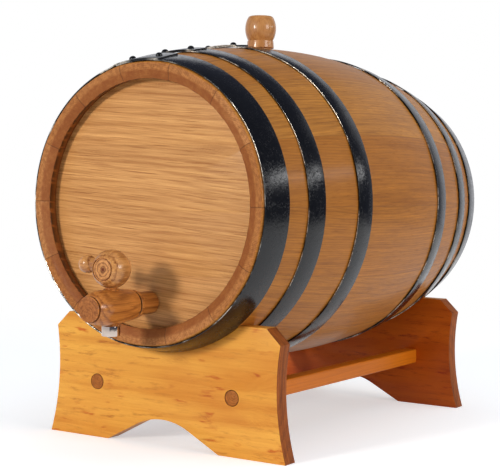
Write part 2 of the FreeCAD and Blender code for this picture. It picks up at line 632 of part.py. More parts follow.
# ---------------------------------------------------------------------------------------------------
# Cradle: two sawn plates joined by two square rails with round tenons. Heights are above the floor.
# ---------------------------------------------------------------------------------------------------
SADDLE_RADIUS = f"({skin(PLATE_OUTER)} + saddle_ease)"
HORN_REACH = f"sqrt({SADDLE_RADIUS} ^ 2 - cradle_horn_drop ^ 2)"
CRADLE_TOP = "(axis_height - cradle_horn_drop)"
CORNER_Z = f"({CRADLE_TOP} - cradle_corner_drop)"
SHOULDER_REACH = "(cradle_corner_reach - cradle_corner_cut)"
SIDE_CHORD = f"sqrt({CORNER_Z} ^ 2 + (cradle_foot_reach - cradle_corner_reach) ^ 2)"
SIDE_RADIUS = arc_radius(SIDE_CHORD, "cradle_waist")
# The arch's flanks run from its feet to where they touch the circle of its crown.
CROWN_DROP = "(cradle_arch_radius - cradle_arch_rise)"
FLANK_SLOPE = (f"(asin(cradle_arch_radius / sqrt(cradle_arch_reach ^ 2 + {CROWN_DROP} ^ 2))"
               f" - atan({CROWN_DROP} / cradle_arch_reach))")
FLANK_X = f"(cradle_arch_radius * sin{FLANK_SLOPE})"
FLANK_Z = f"(cradle_arch_radius * cos{FLANK_SLOPE} - {CROWN_DROP})"
PLATE_CORNERS = [
    ("cradle_arch_reach", "0"),
    ("cradle_foot_reach", "0"),
    ("cradle_corner_reach", CORNER_Z),
    (SHOULDER_REACH, CRADLE_TOP),
    (HORN_REACH, CRADLE_TOP),
    (f"(0 - {HORN_REACH})", CRADLE_TOP),
    (f"(0 - {SHOULDER_REACH})", CRADLE_TOP),
    ("(0 - cradle_corner_reach)", CORNER_Z),
    ("(0 - cradle_foot_reach)", "0"),
    ("(0 - cradle_arch_reach)", "0"),
    (f"(0 - {FLANK_X})", FLANK_Z),
    (FLANK_X, FLANK_Z),
]
PLATE_ARCS = {
    1: ("right", SIDE_RADIUS),
    4: ("right", SADDLE_RADIUS),
    7: ("right", SIDE_RADIUS),
    10: ("right", "cradle_arch_radius"),
}
TENON_RADIUS = "(rail_side / 2 - rail_shoulder)"


def cradle_plate(end, sign):
    """One plate, its saddle bevelled to the taper of the cask, bored for both rails."""
    name = f"{end}_cradle_plate"
    body = doc.addObject("PartDesign::Body", f"{name}_body")
    corners = [(across, f"({up} - axis_height)") for across, up in PLATE_CORNERS]
    sketch = outline(body, "XZ_Plane", corners, PLATE_ARCS, f"(0 - {sign} * {PLATE_OUTER})")
    pad = body.newObject("PartDesign::Pad", f"{name}_pad")
    pad.Profile = sketch
    pad.setExpression("Length", cells("cradle_thickness"))
    pad.Reversed = sign < 0
    near = f"({PLATE_INNER} - saw_margin)"
    far = f"({PLATE_OUTER} + saw_margin)"
    cut = [
        (f"({sign} * {near})", "0"),
        (f"({sign} * {far})", "0"),
        (f"({sign} * {far})", f"({skin(far)} + saddle_ease)"),
        (f"({sign} * {near})", f"({skin(near)} + saddle_ease)"),
    ]
    saddle_sketch = outline(body, "YZ_Plane", cut, {2: ("left" if sign < 0 else "right", BEND)})
    saddle = body.newObject("PartDesign::Groove", f"{name}_saddle")
    saddle.Profile = saddle_sketch
    saddle.ReferenceAxis = (saddle_sketch, ["H_Axis"])
    saddle.Angle = 360
    place(body)
    holes = []
    for side in (-1, 1):
        hole = rod(f"{name}_hole_{'left' if side < 0 else 'right'}", f"{TENON_RADIUS} + rail_ease",
                   "cradle_thickness + 2 * saw_margin")
        place(hole, x=f"({side} * rail_reach)", z="(rail_height - axis_height)",
              y=f"(({sign} * ({PLATE_OUTER} + {PLATE_INNER}) - cradle_thickness) / 2 - saw_margin)",
              axis="1; 0; 0", angle=-90)
        holes.append(hole)
    bored(name, body, *holes)


cradle_plate("front", -1)
cradle_plate("rear", 1)

RAIL_HALF = "(rail_side / 2)"
RAIL_FLAT = "(rail_side / 2 - rail_edge)"
RAIL_CORNERS = [
    (RAIL_HALF, RAIL_FLAT),
    (RAIL_FLAT, RAIL_HALF),
    (f"(0 - {RAIL_FLAT})", RAIL_HALF),
    (f"(0 - {RAIL_HALF})", RAIL_FLAT),
    (f"(0 - {RAIL_HALF})", f"(0 - {RAIL_FLAT})"),
    (f"(0 - {RAIL_FLAT})", f"(0 - {RAIL_HALF})"),
    (RAIL_FLAT, f"(0 - {RAIL_HALF})"),
    (RAIL_HALF, f"(0 - {RAIL_FLAT})"),
]
RAIL_ARCS = {corner: ("left", "rail_edge") for corner in (0, 2, 4, 6)}


def cradle_rail(side, sign):
    """A square bar between the plates, with a round tenon through each of them."""
    shoulder = f"({PLATE_INNER} - rail_ease)"
    bar = doc.addObject("PartDesign::Body", f"{side}_rail_bar")
    sketch = outline(bar, "XZ_Plane", RAIL_CORNERS, RAIL_ARCS, shoulder)
    pad = bar.newObject("PartDesign::Pad", f"{side}_rail_pad")
    pad.Profile = sketch
    pad.setExpression("Length", cells(f"2 * {shoulder}"))
    pad.Reversed = True
    place(bar, x=f"({sign} * rail_reach)", z="(rail_height - axis_height)")
    tenons = rod(f"{side}_rail_tenons", TENON_RADIUS, f"2 * {PLATE_OUTER}")
    place(tenons, x=f"({sign} * rail_reach)", y=f"(0 - {PLATE_OUTER})", z="(rail_height - axis_height)",
          axis="1; 0; 0", angle=-90)
    rail = doc.addObject("Part::Fuse", f"{side}_rail")
    rail.Base = bar
    rail.Tool = tenons
    keep(rail, f"{side}_cradle_rail")


cradle_rail("left", -1)
cradle_rail("right", 1)


# ---------------------------------------------------------------------------------------------------
# Rebuild, inspect and export
# ---------------------------------------------------------------------------------------------------
doc.recompute()
for item in doc.Objects:
    if "Invalid" in item.State or "Error" in item.State:
        raise RuntimeError(f"{item.Label} failed: {item.State}")
for piece in PARTS:
    if piece.Shape.isNull() or not piece.Shape.isValid() or piece.Shape.Volume <= 0:
        raise RuntimeError(f"{piece.Label} has no sound shape")

os.makedirs("parts", exist_ok=True)
for piece in PARTS:
    piece.Shape.exportStep(os.path.join("parts", f"{piece.Label}.step"))
    print(f"{piece.Label}: {len(piece.Shape.Solids)} solid(s), {piece.Shape.Volume / 1000:.1f} cm3")
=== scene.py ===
# %% [markdown]
# # An oak cask in its cradle
#
# This lesson dresses a small oak cask: fourteen bent staves, two plank heads, six riveted hoops, a
# turned tap and bung, and a pine cradle. The construction is finished before the lesson starts. It
# comes in as a fixed frame, in metres, with +Z up and the cask's axis along Y. Every piece made here
# takes its place from that frame, and rides on one of its bodies.

# %% Load the fixed frame
import math
from contextlib import contextmanager
import bmesh
import bpy
import numpy as np
from mathutils import Matrix, Vector, noise


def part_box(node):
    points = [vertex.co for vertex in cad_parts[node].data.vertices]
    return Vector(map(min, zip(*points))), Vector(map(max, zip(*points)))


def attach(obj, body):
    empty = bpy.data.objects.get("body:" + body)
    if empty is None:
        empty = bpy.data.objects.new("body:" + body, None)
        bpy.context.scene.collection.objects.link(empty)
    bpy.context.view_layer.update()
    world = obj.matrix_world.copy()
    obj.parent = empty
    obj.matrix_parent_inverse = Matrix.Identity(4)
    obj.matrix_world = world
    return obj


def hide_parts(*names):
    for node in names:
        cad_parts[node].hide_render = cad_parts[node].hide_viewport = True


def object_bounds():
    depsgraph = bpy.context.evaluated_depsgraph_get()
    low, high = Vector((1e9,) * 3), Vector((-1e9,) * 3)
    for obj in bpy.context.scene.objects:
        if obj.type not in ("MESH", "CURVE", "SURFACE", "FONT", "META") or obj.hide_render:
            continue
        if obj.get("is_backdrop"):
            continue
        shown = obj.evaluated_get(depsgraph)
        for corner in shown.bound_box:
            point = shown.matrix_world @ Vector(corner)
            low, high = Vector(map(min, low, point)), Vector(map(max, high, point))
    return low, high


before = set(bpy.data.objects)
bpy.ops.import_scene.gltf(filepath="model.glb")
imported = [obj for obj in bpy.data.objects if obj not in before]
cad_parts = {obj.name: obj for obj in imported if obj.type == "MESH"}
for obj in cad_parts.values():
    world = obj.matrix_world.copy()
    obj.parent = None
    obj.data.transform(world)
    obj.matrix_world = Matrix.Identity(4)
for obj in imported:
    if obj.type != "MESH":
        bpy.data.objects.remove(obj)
cad_box = [list(corner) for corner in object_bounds()]
print("nodes:", len(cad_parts))

# %% [markdown]
# ## The cask's lines
#
# A cooper thinks of a cask as one long curve, turned about the axis. The staves' boxes give the axis,
# the length and the belly, and the chime is the widest ring of points at the very end of a stave. From
# those three sizes follows the arc that every stave is bent to, so the staves and hoops below share it.

# %% Read the lines from the frame
MM = 0.001
UP = Vector((0, 0, 1))
TO_BACK = Vector((0, 1, 0))
TO_RIGHT = Vector((1, 0, 0))
STAVE_NODES = sorted(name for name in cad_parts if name.startswith("stave_"))
STAVE_COUNT = len(STAVE_NODES) + 1
STAVE_ANGLE = 2 * math.pi / STAVE_COUNT
stave_corners = [corner for name in STAVE_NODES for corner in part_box(name)]
low, high = (Vector(pick(corner[i] for corner in stave_corners) for i in range(3)) for pick in (min, max))
HALF = (high.y - low.y) / 2
BILGE = high.x
CENTRE = Vector((0, (low.y + high.y) / 2, low.z + BILGE))
end_points = [v.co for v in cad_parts[STAVE_NODES[0]].data.vertices if v.co.y < low.y + 0.01 * MM]
CHIME = max(math.hypot(point.x, point.z - CENTRE.z) for point in end_points)
BEND = (HALF ** 2 + (BILGE - CHIME) ** 2) / (2 * (BILGE - CHIME))


def skin(distance, depth=0.0):
    """Radius of the staves' outside at a distance from mid-length, or at a depth in the wood."""
    return BILGE - BEND + math.sqrt((BEND - depth) ** 2 - distance ** 2)


print(f"{STAVE_COUNT} staves, half-length {HALF:.4f}, bilge {BILGE:.4f}, chime {CHIME:.4f}")

# %% [markdown]
# ## Camera
#
# The viewer stands to the right of the tap, almost level with the cask, and sees its front head and
# its right flank. The camera is placed by the angle round the cask, the height above it and the
# distance, and then tipped a little, as a hand-held camera is. The focal length is a short telephoto,
# which keeps the two heads nearly the same size. `link` puts a new object in the scene, here and below.

# %% Link an object to the scene


def link(name, data):
    piece = bpy.data.objects.new(name, data)
    bpy.context.scene.collection.objects.link(piece)
    return piece


print("objects go to:", bpy.context.scene.collection.name)

# %% Place the camera
IMAGE_WIDTH, IMAGE_HEIGHT = 500, 471
FOCAL_PIXELS = 1320.6
IMAGE_MIDDLE = (244.7, 229.3)
AROUND, ABOVE, AWAY = math.radians(31.88), math.radians(1.15), 1.3414
YAW, PITCH, ROLL = math.radians(-1.20), math.radians(-1.21), math.radians(0.89)
SENSOR = 36.0

outward = Vector((math.sin(AROUND) * math.cos(ABOVE), -math.cos(AROUND) * math.cos(ABOVE), math.sin(ABOVE)))
to_side = UP.cross(outward).normalized()
aim = Matrix((to_side, outward.cross(to_side), outward)).transposed()
tip = Matrix.Rotation(-YAW, 3, "Y") @ Matrix.Rotation(PITCH, 3, "X") @ Matrix.Rotation(ROLL, 3, "Z")
lens = bpy.data.cameras.new("camera")
lens.sensor_width = SENSOR
lens.lens = FOCAL_PIXELS * SENSOR / IMAGE_WIDTH
lens.shift_x = (IMAGE_WIDTH / 2 - IMAGE_MIDDLE[0]) / IMAGE_WIDTH
lens.shift_y = (IMAGE_MIDDLE[1] - IMAGE_HEIGHT / 2) / IMAGE_WIDTH
camera = link("camera", lens)
camera.matrix_world = Matrix.Translation(CENTRE + outward * AWAY) @ (aim @ tip).to_4x4()
bpy.context.scene.camera = camera
print("camera at", [round(value, 3) for value in camera.location], "lens", round(lens.lens, 1))

# %% [markdown]
# ## Node trees as plain Python
#
# A material is a small machine of nodes. Wiring sums by hand hides the idea behind a dozen links, so
# a `Signal` wraps a socket and learns the arithmetic operators: `ring * 0.5 + fibre` places its own
# Math nodes. Everything that isn't a sum comes from `Bench.node`, which sets a node's settings first
# and then its sockets. The same bench serves shader trees and geometry trees.

# %% A signal that takes part in sums


class Signal:
    """A node's output socket with the operators of a number."""

    def __init__(self, bench, socket):
        self.bench = bench
        self.socket = socket

    def __add__(self, other):
        return self.bench.math("ADD", self, other)

    def __sub__(self, other):
        return self.bench.math("SUBTRACT", self, other)

    def __rsub__(self, other):
        return self.bench.math("SUBTRACT", other, self)

    def __mul__(self, other):
        return self.bench.math("MULTIPLY", self, other)

    def __truediv__(self, other):
        return self.bench.math("DIVIDE", self, other)

    __radd__ = __add__
    __rmul__ = __mul__


print("a signal takes", ", ".join(name.strip("_") for name in vars(Signal) if name.startswith("__r")))

# %% A bench that places any node


class Bench:
    """A node tree, with one way to place any node in it."""

    def __init__(self, tree):
        self.tree = tree

    def node(self, kind, settings=None, sockets=None, output=0):
        """Places a node: its settings first, then the values or links of its sockets."""
        node = self.tree.nodes.new(kind)
        for name, value in (settings or {}).items():
            setattr(node, name, value)
        for name, value in (sockets or {}).items():
            if isinstance(value, Signal):
                self.tree.links.new(value.socket, node.inputs[name])
            else:
                node.inputs[name].default_value = value
        return Signal(self, node.outputs[output]) if node.outputs else None

    def vector(self, operation, first, second=(0.0, 0.0, 0.0), output=0):
        return self.node("ShaderNodeVectorMath", {"operation": operation}, {0: first, 1: second}, output)

    def ramp(self, value, start, end, low=0.0, high=1.0):
        """Takes a value smoothly from low to high while it runs from start to end."""
        sockets = {"Value": value, "From Min": start, "From Max": end, "To Min": low, "To Max": high}
        return self.node("ShaderNodeMapRange", {"interpolation_type": "SMOOTHSTEP"}, sockets)

    def blend(self, factor, first, second, mode="MIX"):
        """One colour where the factor is 0 and the other where it is 1."""
        settings = {"data_type": "RGBA", "blend_type": mode}
        return self.node("ShaderNodeMix", settings, {0: factor, 6: first, 7: second}, 2)

    def noise(self, place, scale, detail=2.0, roughness=0.5):
        sockets = {"Vector": place, "Scale": scale, "Detail": detail, "Roughness": roughness}
        return self.node("ShaderNodeTexNoise", None, sockets)

    def math(self, operation, first, second=0.0):
        return self.node("ShaderNodeMath", {"operation": operation}, {0: first, 1: second})

    def part(self, vector, axis):
        """A vector's X, Y or Z."""
        return self.node("ShaderNodeSeparateXYZ", None, {0: vector}, axis)

    def place(self):
        """Where a point lies, in the piece's own coordinates."""
        return self.node("ShaderNodeTexCoord", None, None, "Object")

    def attribute(self, name, output="Fac"):
        return self.node("ShaderNodeAttribute", {"attribute_name": name}, None, output)

    def rays(self, *kinds):
        """1 for a ray of one of these kinds, and otherwise 0."""
        signals = [self.node("ShaderNodeLightPath", None, None, kind) for kind in kinds]
        total = signals[0]
        for signal in signals[1:]:
            total = self.math("MAXIMUM", total, signal)
        return total


print("bench tools:", ", ".join(name for name in vars(Bench) if not name.startswith("_")))

# %% Open and close a finish


def new_finish(name):
    """A new material and the bench of its tree."""
    material = bpy.data.materials.new(name)
    material.use_nodes = True
    material.node_tree.nodes.clear()
    return material, Bench(material.node_tree)


def close_finish(bench, sockets, relief=None, depth=0.0):
    """Ends a material in one Principled shader. The relief's depth is in metres."""
    if relief is not None:
        bump = bench.node("ShaderNodeBump", None, {"Distance": depth, "Height": relief})
        sockets = dict(sockets, Normal=bump)
    surface = bench.node("ShaderNodeBsdfPrincipled", None, sockets)
    bench.node("ShaderNodeOutputMaterial", None, {"Surface": surface})


def screen(red, green, blue):
    """A colour picked on a screen, 0 to 255, as the linear light that a shader works in."""
    shares = [value / 255 for value in (red, green, blue)]
    return tuple(v / 12.92 if v <= 0.04045 else ((v + 0.055) / 1.055) ** 2.4 for v in shares) + (1.0,)


print("mid grey on a screen is", round(screen(128, 128, 128)[0], 3), "in linear light")

# %% [markdown]
# ## Floor, backdrop and lamps
#
# Small goods are shot on a pale sweep. The floor is a real surface that keeps the cask's shadow, and
# far away it melts into a white world, so that no horizon shows. The main lamp stands nearly straight
# in front of the tap, low and a little to its left, and throws the tap's shadow on the head. A second
# lamp fills the right flank, a wide one hangs overhead, and a strip behind gives the black hoops their
# bright line.

# %% Lay the floor
WHITE = (1.0, 1.0, 1.0, 1.0)
FLOOR_GREY = (0.80, 0.80, 0.80, 1.0)
FLOOR_REACH = 1.2
FADE = 0.40, 1.1
FLOOR_GLOW = 0.46


def build_floor():
    """A wide floor that turns into plain white light away from the cask."""
    material, bench = new_finish("floor_sweep")
    reach = bench.vector("LENGTH", bench.place(), output="Value")
    paths = bench.rays("Is Camera Ray", "Is Glossy Ray", "Is Transmission Ray")
    far = bench.ramp(reach, *FADE) * paths
    near = bench.node("ShaderNodeBsdfDiffuse", None, {"Color": FLOOR_GREY})
    glow = bench.node("ShaderNodeEmission", None, {"Color": WHITE, "Strength": paths * FLOOR_GLOW})
    lit = bench.node("ShaderNodeAddShader", None, {0: near, 1: glow})
    light = bench.node("ShaderNodeEmission", None, {"Color": WHITE, "Strength": 1.0})
    surface = bench.node("ShaderNodeMixShader", None, {0: far, 1: lit, 2: light})
    bench.node("ShaderNodeOutputMaterial", None, {"Surface": surface})
    mesh = bpy.data.meshes.new("floor")
    spots = [(x * FLOOR_REACH, y * FLOOR_REACH, 0) for x, y in ((-1, -1), (1, -1), (1, 1), (-1, 1))]
    mesh.from_pydata(spots, [], [(0, 1, 2, 3)])
    mesh.materials.append(material)
    floor = link("floor", mesh)
    floor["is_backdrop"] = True
    print("floor", 2 * FLOOR_REACH, "m wide")


build_floor()

# %% Paint the world
SKY_STRENGTH = 0.42
SKY_BLUE = (0.80, 0.88, 1.0, 1.0)
ROOM_DARK = (0.08, 0.09, 0.13, 1.0)
WALL_WHITE = (0.75, 0.76, 0.80, 1.0)
WALL_SIDE = 0.55, 0.15
WALL_TOP = 0.60, 0.48


def build_world():
    """White behind everything. Gloss sees a pale wall behind the cask and to its left, up to a
    height, and a dark room above it and on the right."""
    world = bpy.data.worlds.new("studio")
    bpy.context.scene.world = world
    world.use_nodes = True
    world.node_tree.nodes.clear()
    bench = Bench(world.node_tree)
    direction = bench.node("ShaderNodeTexCoord", None, None, "Generated")
    wall = bench.ramp(bench.part(direction, "X"), *WALL_SIDE)
    wall = wall * bench.ramp(bench.part(direction, "Z"), *WALL_TOP)
    room = bench.blend(wall, ROOM_DARK, WALL_WHITE)
    soft = bench.node("ShaderNodeBackground", None, {"Color": SKY_BLUE, "Strength": SKY_STRENGTH})
    shine = bench.node("ShaderNodeBackground", None, {"Color": room, "Strength": 1.0})
    lit = bench.node("ShaderNodeMixShader", None, {0: bench.rays("Is Glossy Ray"), 1: soft, 2: shine})
    seen = bench.rays("Is Camera Ray", "Is Transmission Ray")
    plain = bench.node("ShaderNodeBackground", None, {"Color": WHITE, "Strength": 1.0})
    surface = bench.node("ShaderNodeMixShader", None, {0: seen, 1: lit, 2: plain})
    bench.node("ShaderNodeOutputWorld", None, {"Surface": surface})
    print("world nodes:", len(world.node_tree.nodes))


build_world()

# %% Hang the lamps
LAMPS = {
    "main_lamp": ((-0.205, -0.955, 0.214), 2.4, (0.34, 0.34), 29, (1.0, 0.96, 0.90), True),
    "flank_lamp": ((0.97, -0.10, 0.24), 2.6, (1.0, 0.7), 24, (1.0, 0.97, 0.93), True),
    "top_lamp": ((0.15, 0.1, 1.0), 2.2, (1.8, 1.8), 15, (0.90, 0.95, 1.0), False),
    "strip_lamp": ((0.81, 0.534, 0.26), 2.8, (1.5, 0.20), 5.5, (1.0, 1.0, 1.0), True),
}


def hang_lamp(name, towards, distance, size, watts, colour, mirrored):
    """A soft rectangular lamp that looks at the cask from a direction. Gloss may leave it out."""
    light = bpy.data.lights.new(name, "AREA")
    light.shape = "RECTANGLE"
    light.size, light.size_y = size
    light.energy = watts
    light.color = colour
    lamp = link(name, light)
    direction = Vector(towards).normalized()
    facing = direction.to_track_quat("Z", "Y").to_matrix().to_4x4()
    lamp.matrix_world = Matrix.Translation(CENTRE + direction * distance) @ facing
    lamp.visible_glossy = mirrored


for name, lamp in LAMPS.items():
    hang_lamp(name, *lamp)
bpy.context.scene.view_settings.view_transform = "Standard"
print("lamps:", ", ".join(LAMPS))

# %% [markdown]
# ## Solid wood
#
# Wood isn't a picture glued on a board. It is a solid stack of growth rings round a pith, threaded
# with fibres and pores that run along the tree. So each wooden piece carries a few attributes: `grain`
# is a point's place in its board, measured across the grain, out of the face and along the grain, and
# `board` is the board's number, which shifts and tones the pattern. One function then draws every
# wood here: rings as distance from a wandering pith, streaks and fibres as noise stretched along the
# grain, and dark pores where the fine noise peaks. `cut` is 1 where a saw crossed the grain, which
# drinks more stain. `seam` is 1 along a glued joint, and also marks painted shade in turned
# grooves, round tenon ends and on the chime's inner wall. `worn` is 1 on the chime's inner
# bevel, darkened partly as a rough tool cut and partly as painted shade, and `inner` is 1 on a face
# that gets painted shade.

# %% Pith, torn spots and boards
UNTOLD_PITH, PITH_SHIFT = (70.0, 52.0, 0.0), (0.5, 1.35, 0.0)


def from_pith(bench, point, moved, chance, pith, sway):
    """Each point's distance from a pith that sways along the tree. Without one, chance says where."""
    drift = bench.vector("MULTIPLY", moved, (1.0, 1.0, 0.22))
    drift = bench.node("ShaderNodeTexNoise", None, {"Vector": drift, "Scale": 0.016, "Detail": 1.0}, "Color")
    drift = bench.vector("SUBTRACT", drift, (0.5, 0.5, 0.5))
    drift = bench.vector("MULTIPLY", drift, (40 * sway, 40 * sway, 0.0))
    if pith is None:
        heart = bench.vector("MULTIPLY", bench.vector("SUBTRACT", chance, PITH_SHIFT), UNTOLD_PITH)
    else:
        heart = (*pith, 0.0)
    away = bench.vector("SUBTRACT", bench.vector("ADD", point, drift), heart)
    away = bench.vector("MULTIPLY", away, (1.0, 1.0, 0.0))
    return bench.vector("LENGTH", away, output="Value")


def torn_here(bench, place, spot, reach):
    """1 in the middle of a torn spot, and 0 from its reach on."""
    away = bench.vector("MULTIPLY", bench.vector("SUBTRACT", place, spot), (1.0, 0.0, 1.0))
    away = bench.vector("LENGTH", away, output="Value")
    return 1 - bench.ramp(away, reach * 0.35, reach)


def board_tone(bench, luck, boards, fade):
    """Shades each board by its luck, greys the lighter boards partly as a painted sheen, and darkens their
    seams and the places of painted shade.
    """
    shade = (1 - boards + luck * (2 * boards)) * (1 - bench.attribute("seam") * 0.6)
    # Lighter boards turn greyer, partly as a random board tone and partly as a painted sheen.
    blue = shade * (1 + luck * fade)
    green = shade * (1 + luck * (fade * 0.25))
    return bench.node("ShaderNodeCombineColor", None, {0: shade, 1: green, 2: blue})


print("a pith left to chance lies up to", round(PITH_SHIFT[1] * UNTOLD_PITH[1]), "mm deep")

# %% The wood recipe
VARNISH_ROUGHNESS = 0.17
WOOD_SPECULAR = 0.2
TO_MM = (1000.0, 1000.0, 1000.0)
BOARD_SHIFT = (900.0, 900.0, 2400.0)
SUMMER, WINTER = (0.35, 0.86), (0.88, 1.0)
PORE_PEAKS, KNOT_PEAKS, FLECK_PEAKS = (0.60, 0.72), (0.59, 0.72), (0.53, 0.74)


def wood(name, light, dark, ends, pith=None, sway=0.6, ring=5.0, rings=0.3, streaks=0.3, band=5.0,
         fibres=0.25, mottle=0.12, pores=0.4, dash=0.06, boards=0.1, relief=0.06, gloss=0.5, coat=0.3,
         knots=0.0, flecks=None, layers=1.0, end_rings=0.3, core=0.0, straight=1.0, torn=None, fade=0.0,
         worn=None, inner=None, upright=False):
    """A varnished wood. Sizes are in millimetres, strengths run from 0 to 1."""
    material, bench = new_finish(name)
    board = bench.attribute("board")
    chance = bench.node("ShaderNodeTexWhiteNoise", {"noise_dimensions": "1D"}, {"W": board}, "Color")
    luck = bench.node("ShaderNodeTexWhiteNoise", {"noise_dimensions": "1D"}, {"W": board + 1.83}, "Value")
    place = bench.place()
    point = bench.vector("MULTIPLY", place if upright else bench.attribute("grain", "Vector"), TO_MM)
    moved = bench.vector("ADD", point, bench.vector("MULTIPLY", chance, BOARD_SHIFT))

    def drawn_out(stretch, scale, detail=2.0, roughness=0.5):
        """Noise that a small stretch draws out along the grain."""
        spot = bench.vector("MULTIPLY", moved, (1.0, 1.0, stretch))
        return bench.noise(spot, scale, detail, roughness)

    def along_grain(stretch, size, detail=2.0):
        """Noise about 0, as wide across the grain as its size and longer along it."""
        return (drawn_out(stretch * straight, 1 / size, detail, 0.6) - 0.5) * 2.8

    reach = from_pith(bench, point, moved, chance, pith, sway)
    year = bench.math("FRACT", reach / ring + along_grain(0.03, 2.0, 1.0) * 0.25)
    late = bench.ramp(year, *SUMMER) * (1 - bench.ramp(year, *WINTER))

    streak = along_grain(0.022, band, 3.0)
    fibre = along_grain(0.05, 1.0)
    cloud = along_grain(0.25, 40.0)
    pore = bench.ramp(drawn_out(dash, 1.3, 1.0), *PORE_PEAKS) * (1 - late * 0.6)

    if torn:
        strength, *spot = torn
        fibre = fibre + along_grain(0.16, 2.2, 1.0) * torn_here(bench, place, *spot) * strength
    tone = streak * streaks + fibre * fibres + cloud * mottle + (0.5 + rings * 0.35) - late * rings
    colour = bench.blend(tone, dark, light)
    colour = bench.blend(pore * pores, colour, dark, "MULTIPLY")
    if knots:
        knot = bench.ramp(drawn_out(0.25, 0.11, 3.0, 0.6), *KNOT_PEAKS)
        colour = bench.blend(knot * knots, colour, dark, "MULTIPLY")
    if flecks:
        fleck = bench.ramp(drawn_out(0.16, 0.24, 3.0, 0.65), *FLECK_PEAKS)
        colour = bench.blend(fleck * bench.ramp(cloud, -0.6, 0.5, 0.25, 1.0), colour, flecks)
    layer = bench.noise(bench.vector("MULTIPLY", moved, (layers, 1.0, layers)), 0.33, 3.0, 0.7)
    end_tone = bench.ramp(layer, 0.34, 0.66) * (1 - end_rings) + (1 - late) * end_rings
    cut = bench.attribute("cut")
    colour = bench.blend(cut, colour, bench.blend(end_tone, ends[1], ends[0]))
    if core:
        colour = bench.blend(1 - bench.ramp(reach, core * 0.3, core), colour, dark, "MULTIPLY")
    # The worn colour darkens the chime's inner bevel, partly as a rough cut and partly as painted shade.
    if worn:
        scrape = bench.ramp(bench.noise(moved, 0.11, 4.0, 0.7), 0.25, 0.70, 0.45, 1.0)
        colour = bench.blend(bench.attribute("worn") * scrape, colour, worn)
    # Faces marked inner get painted shade, a darker multiply of their colour.
    if inner:
        colour = bench.blend(bench.attribute("inner"), colour, inner, "MULTIPLY")
    colour = bench.blend(1.0, colour, board_tone(bench, luck, boards, fade), "MULTIPLY")
    rough = gloss + fibre * 0.06 + cut * 0.12 + pore * 0.1
    height = fibre * 0.3 + streak * 0.5 - pore * pores * 1.2 - late * rings + cut * layer * 1.5
    sockets = {"Base Color": colour, "Roughness": rough, "Specular IOR Level": WOOD_SPECULAR,
               "Coat Weight": (1 - cut) * coat, "Coat Roughness": VARNISH_ROUGHNESS}
    close_finish(bench, sockets, height, relief * MM)
    return material


print("a recipe for wood, with", wood.__code__.co_argcount, "settings")

# %% [markdown]
# Every wood of the cask is the same recipe with its own colours and strengths. Oak staves have narrow
# rings, a planed head shows long bands, turned pieces have their pith inside them, and pine is wide
# and flecked. The colours are given as they look on a screen: light wood, dark wood and sawn ends.

# %% Mix the woods
STAVE_ENDS = screen(188, 118, 56), screen(136, 76, 30)
HEAD_ENDS = screen(190, 130, 76), screen(150, 94, 50)
TAP_ENDS = screen(176, 108, 54), screen(120, 66, 28)
BALL_ENDS = screen(216, 150, 88), screen(104, 54, 24)
BUNG_ENDS = screen(204, 146, 92), screen(158, 102, 54)
PINE_ENDS = screen(168, 88, 28), screen(104, 48, 12)
RAIL_ENDS = screen(186, 110, 42), screen(112, 58, 18)
PIN_ENDS = screen(200, 160, 110), screen(160, 120, 80)
TORN_SPOT = (0.055, 0.0, CENTRE.z + 0.045)

# The staves' fading greys the lighter staves partly as a painted sheen.
stave_oak = wood("stave_oak", screen(200, 124, 40), screen(132, 74, 20), STAVE_ENDS, ring=1.7, rings=0.2,
                 streaks=0.36, band=3.0, fibres=0.34, mottle=0.08, pores=0.25, sway=0.3, boards=0.12,
                 coat=0.16, fade=0.8, worn=screen(138, 72, 26))
head_oak = wood("head_oak", screen(234, 174, 106), screen(158, 98, 44), HEAD_ENDS, pith=(-260.0, -40.0),
                ring=6.0, rings=0.2, streaks=0.42, band=4.5, fibres=0.36, sway=0.8, boards=0.02, relief=0.25,
                pores=0.5, dash=0.02, coat=0.12, straight=0.5, torn=(0.6, TORN_SPOT, 0.055))
tap_oak = wood("tap_oak", screen(214, 136, 60), screen(124, 62, 20), TAP_ENDS, pith=(3.0, -5.0), ring=2.6,
               rings=0.45, streaks=0.45, band=2.6, sway=0.12, gloss=0.4, coat=0.5, boards=0.0)
ball_oak = wood("ball_oak", screen(222, 158, 90), screen(134, 76, 32), BALL_ENDS, pith=(-0.6, 0.5), ring=3.2,
                rings=0.5, streaks=0.45, band=2.4, sway=0.25, gloss=0.36, coat=0.5, boards=0.0,
                end_rings=0.6, core=2.6)
bung_oak = wood("bung_oak", screen(206, 148, 88), screen(160, 100, 50), BUNG_ENDS, pith=(16.0, -19.0),
                ring=3.0, band=3.0, sway=0.15, boards=0.0, gloss=0.34, coat=0.5)
# The inner colour is painted shade on the plates' inner faces.
cradle_pine = wood("cradle_pine", screen(246, 180, 74), screen(210, 130, 38), PINE_ENDS, ring=11.0,
                   rings=0.25, band=9.0, fibres=0.12, mottle=0.7, pores=0.1, boards=0.0, knots=0.9,
                   flecks=screen(168, 88, 20), relief=0.03, gloss=0.45, coat=0.12, layers=0.06,
                   inner=screen(216, 146, 72))
rail_pine = wood("rail_pine", screen(222, 124, 18), screen(186, 94, 8), RAIL_ENDS, pith=(2.0, 3.0),
                 ring=2.0, sway=0.15, pores=0.1, boards=0.03, gloss=0.45, coat=0.06, end_rings=0.55)
key_oak = wood("key_oak", screen(214, 136, 60), screen(124, 62, 20), TAP_ENDS, ring=2.6, coat=0.1,
               upright=True)
pin_wood = wood("pin_wood", screen(210, 170, 120), screen(180, 136, 86), PIN_ENDS, upright=True)
print("woods:", sum("oak" in item.name or "pine" in item.name for item in bpy.data.materials))

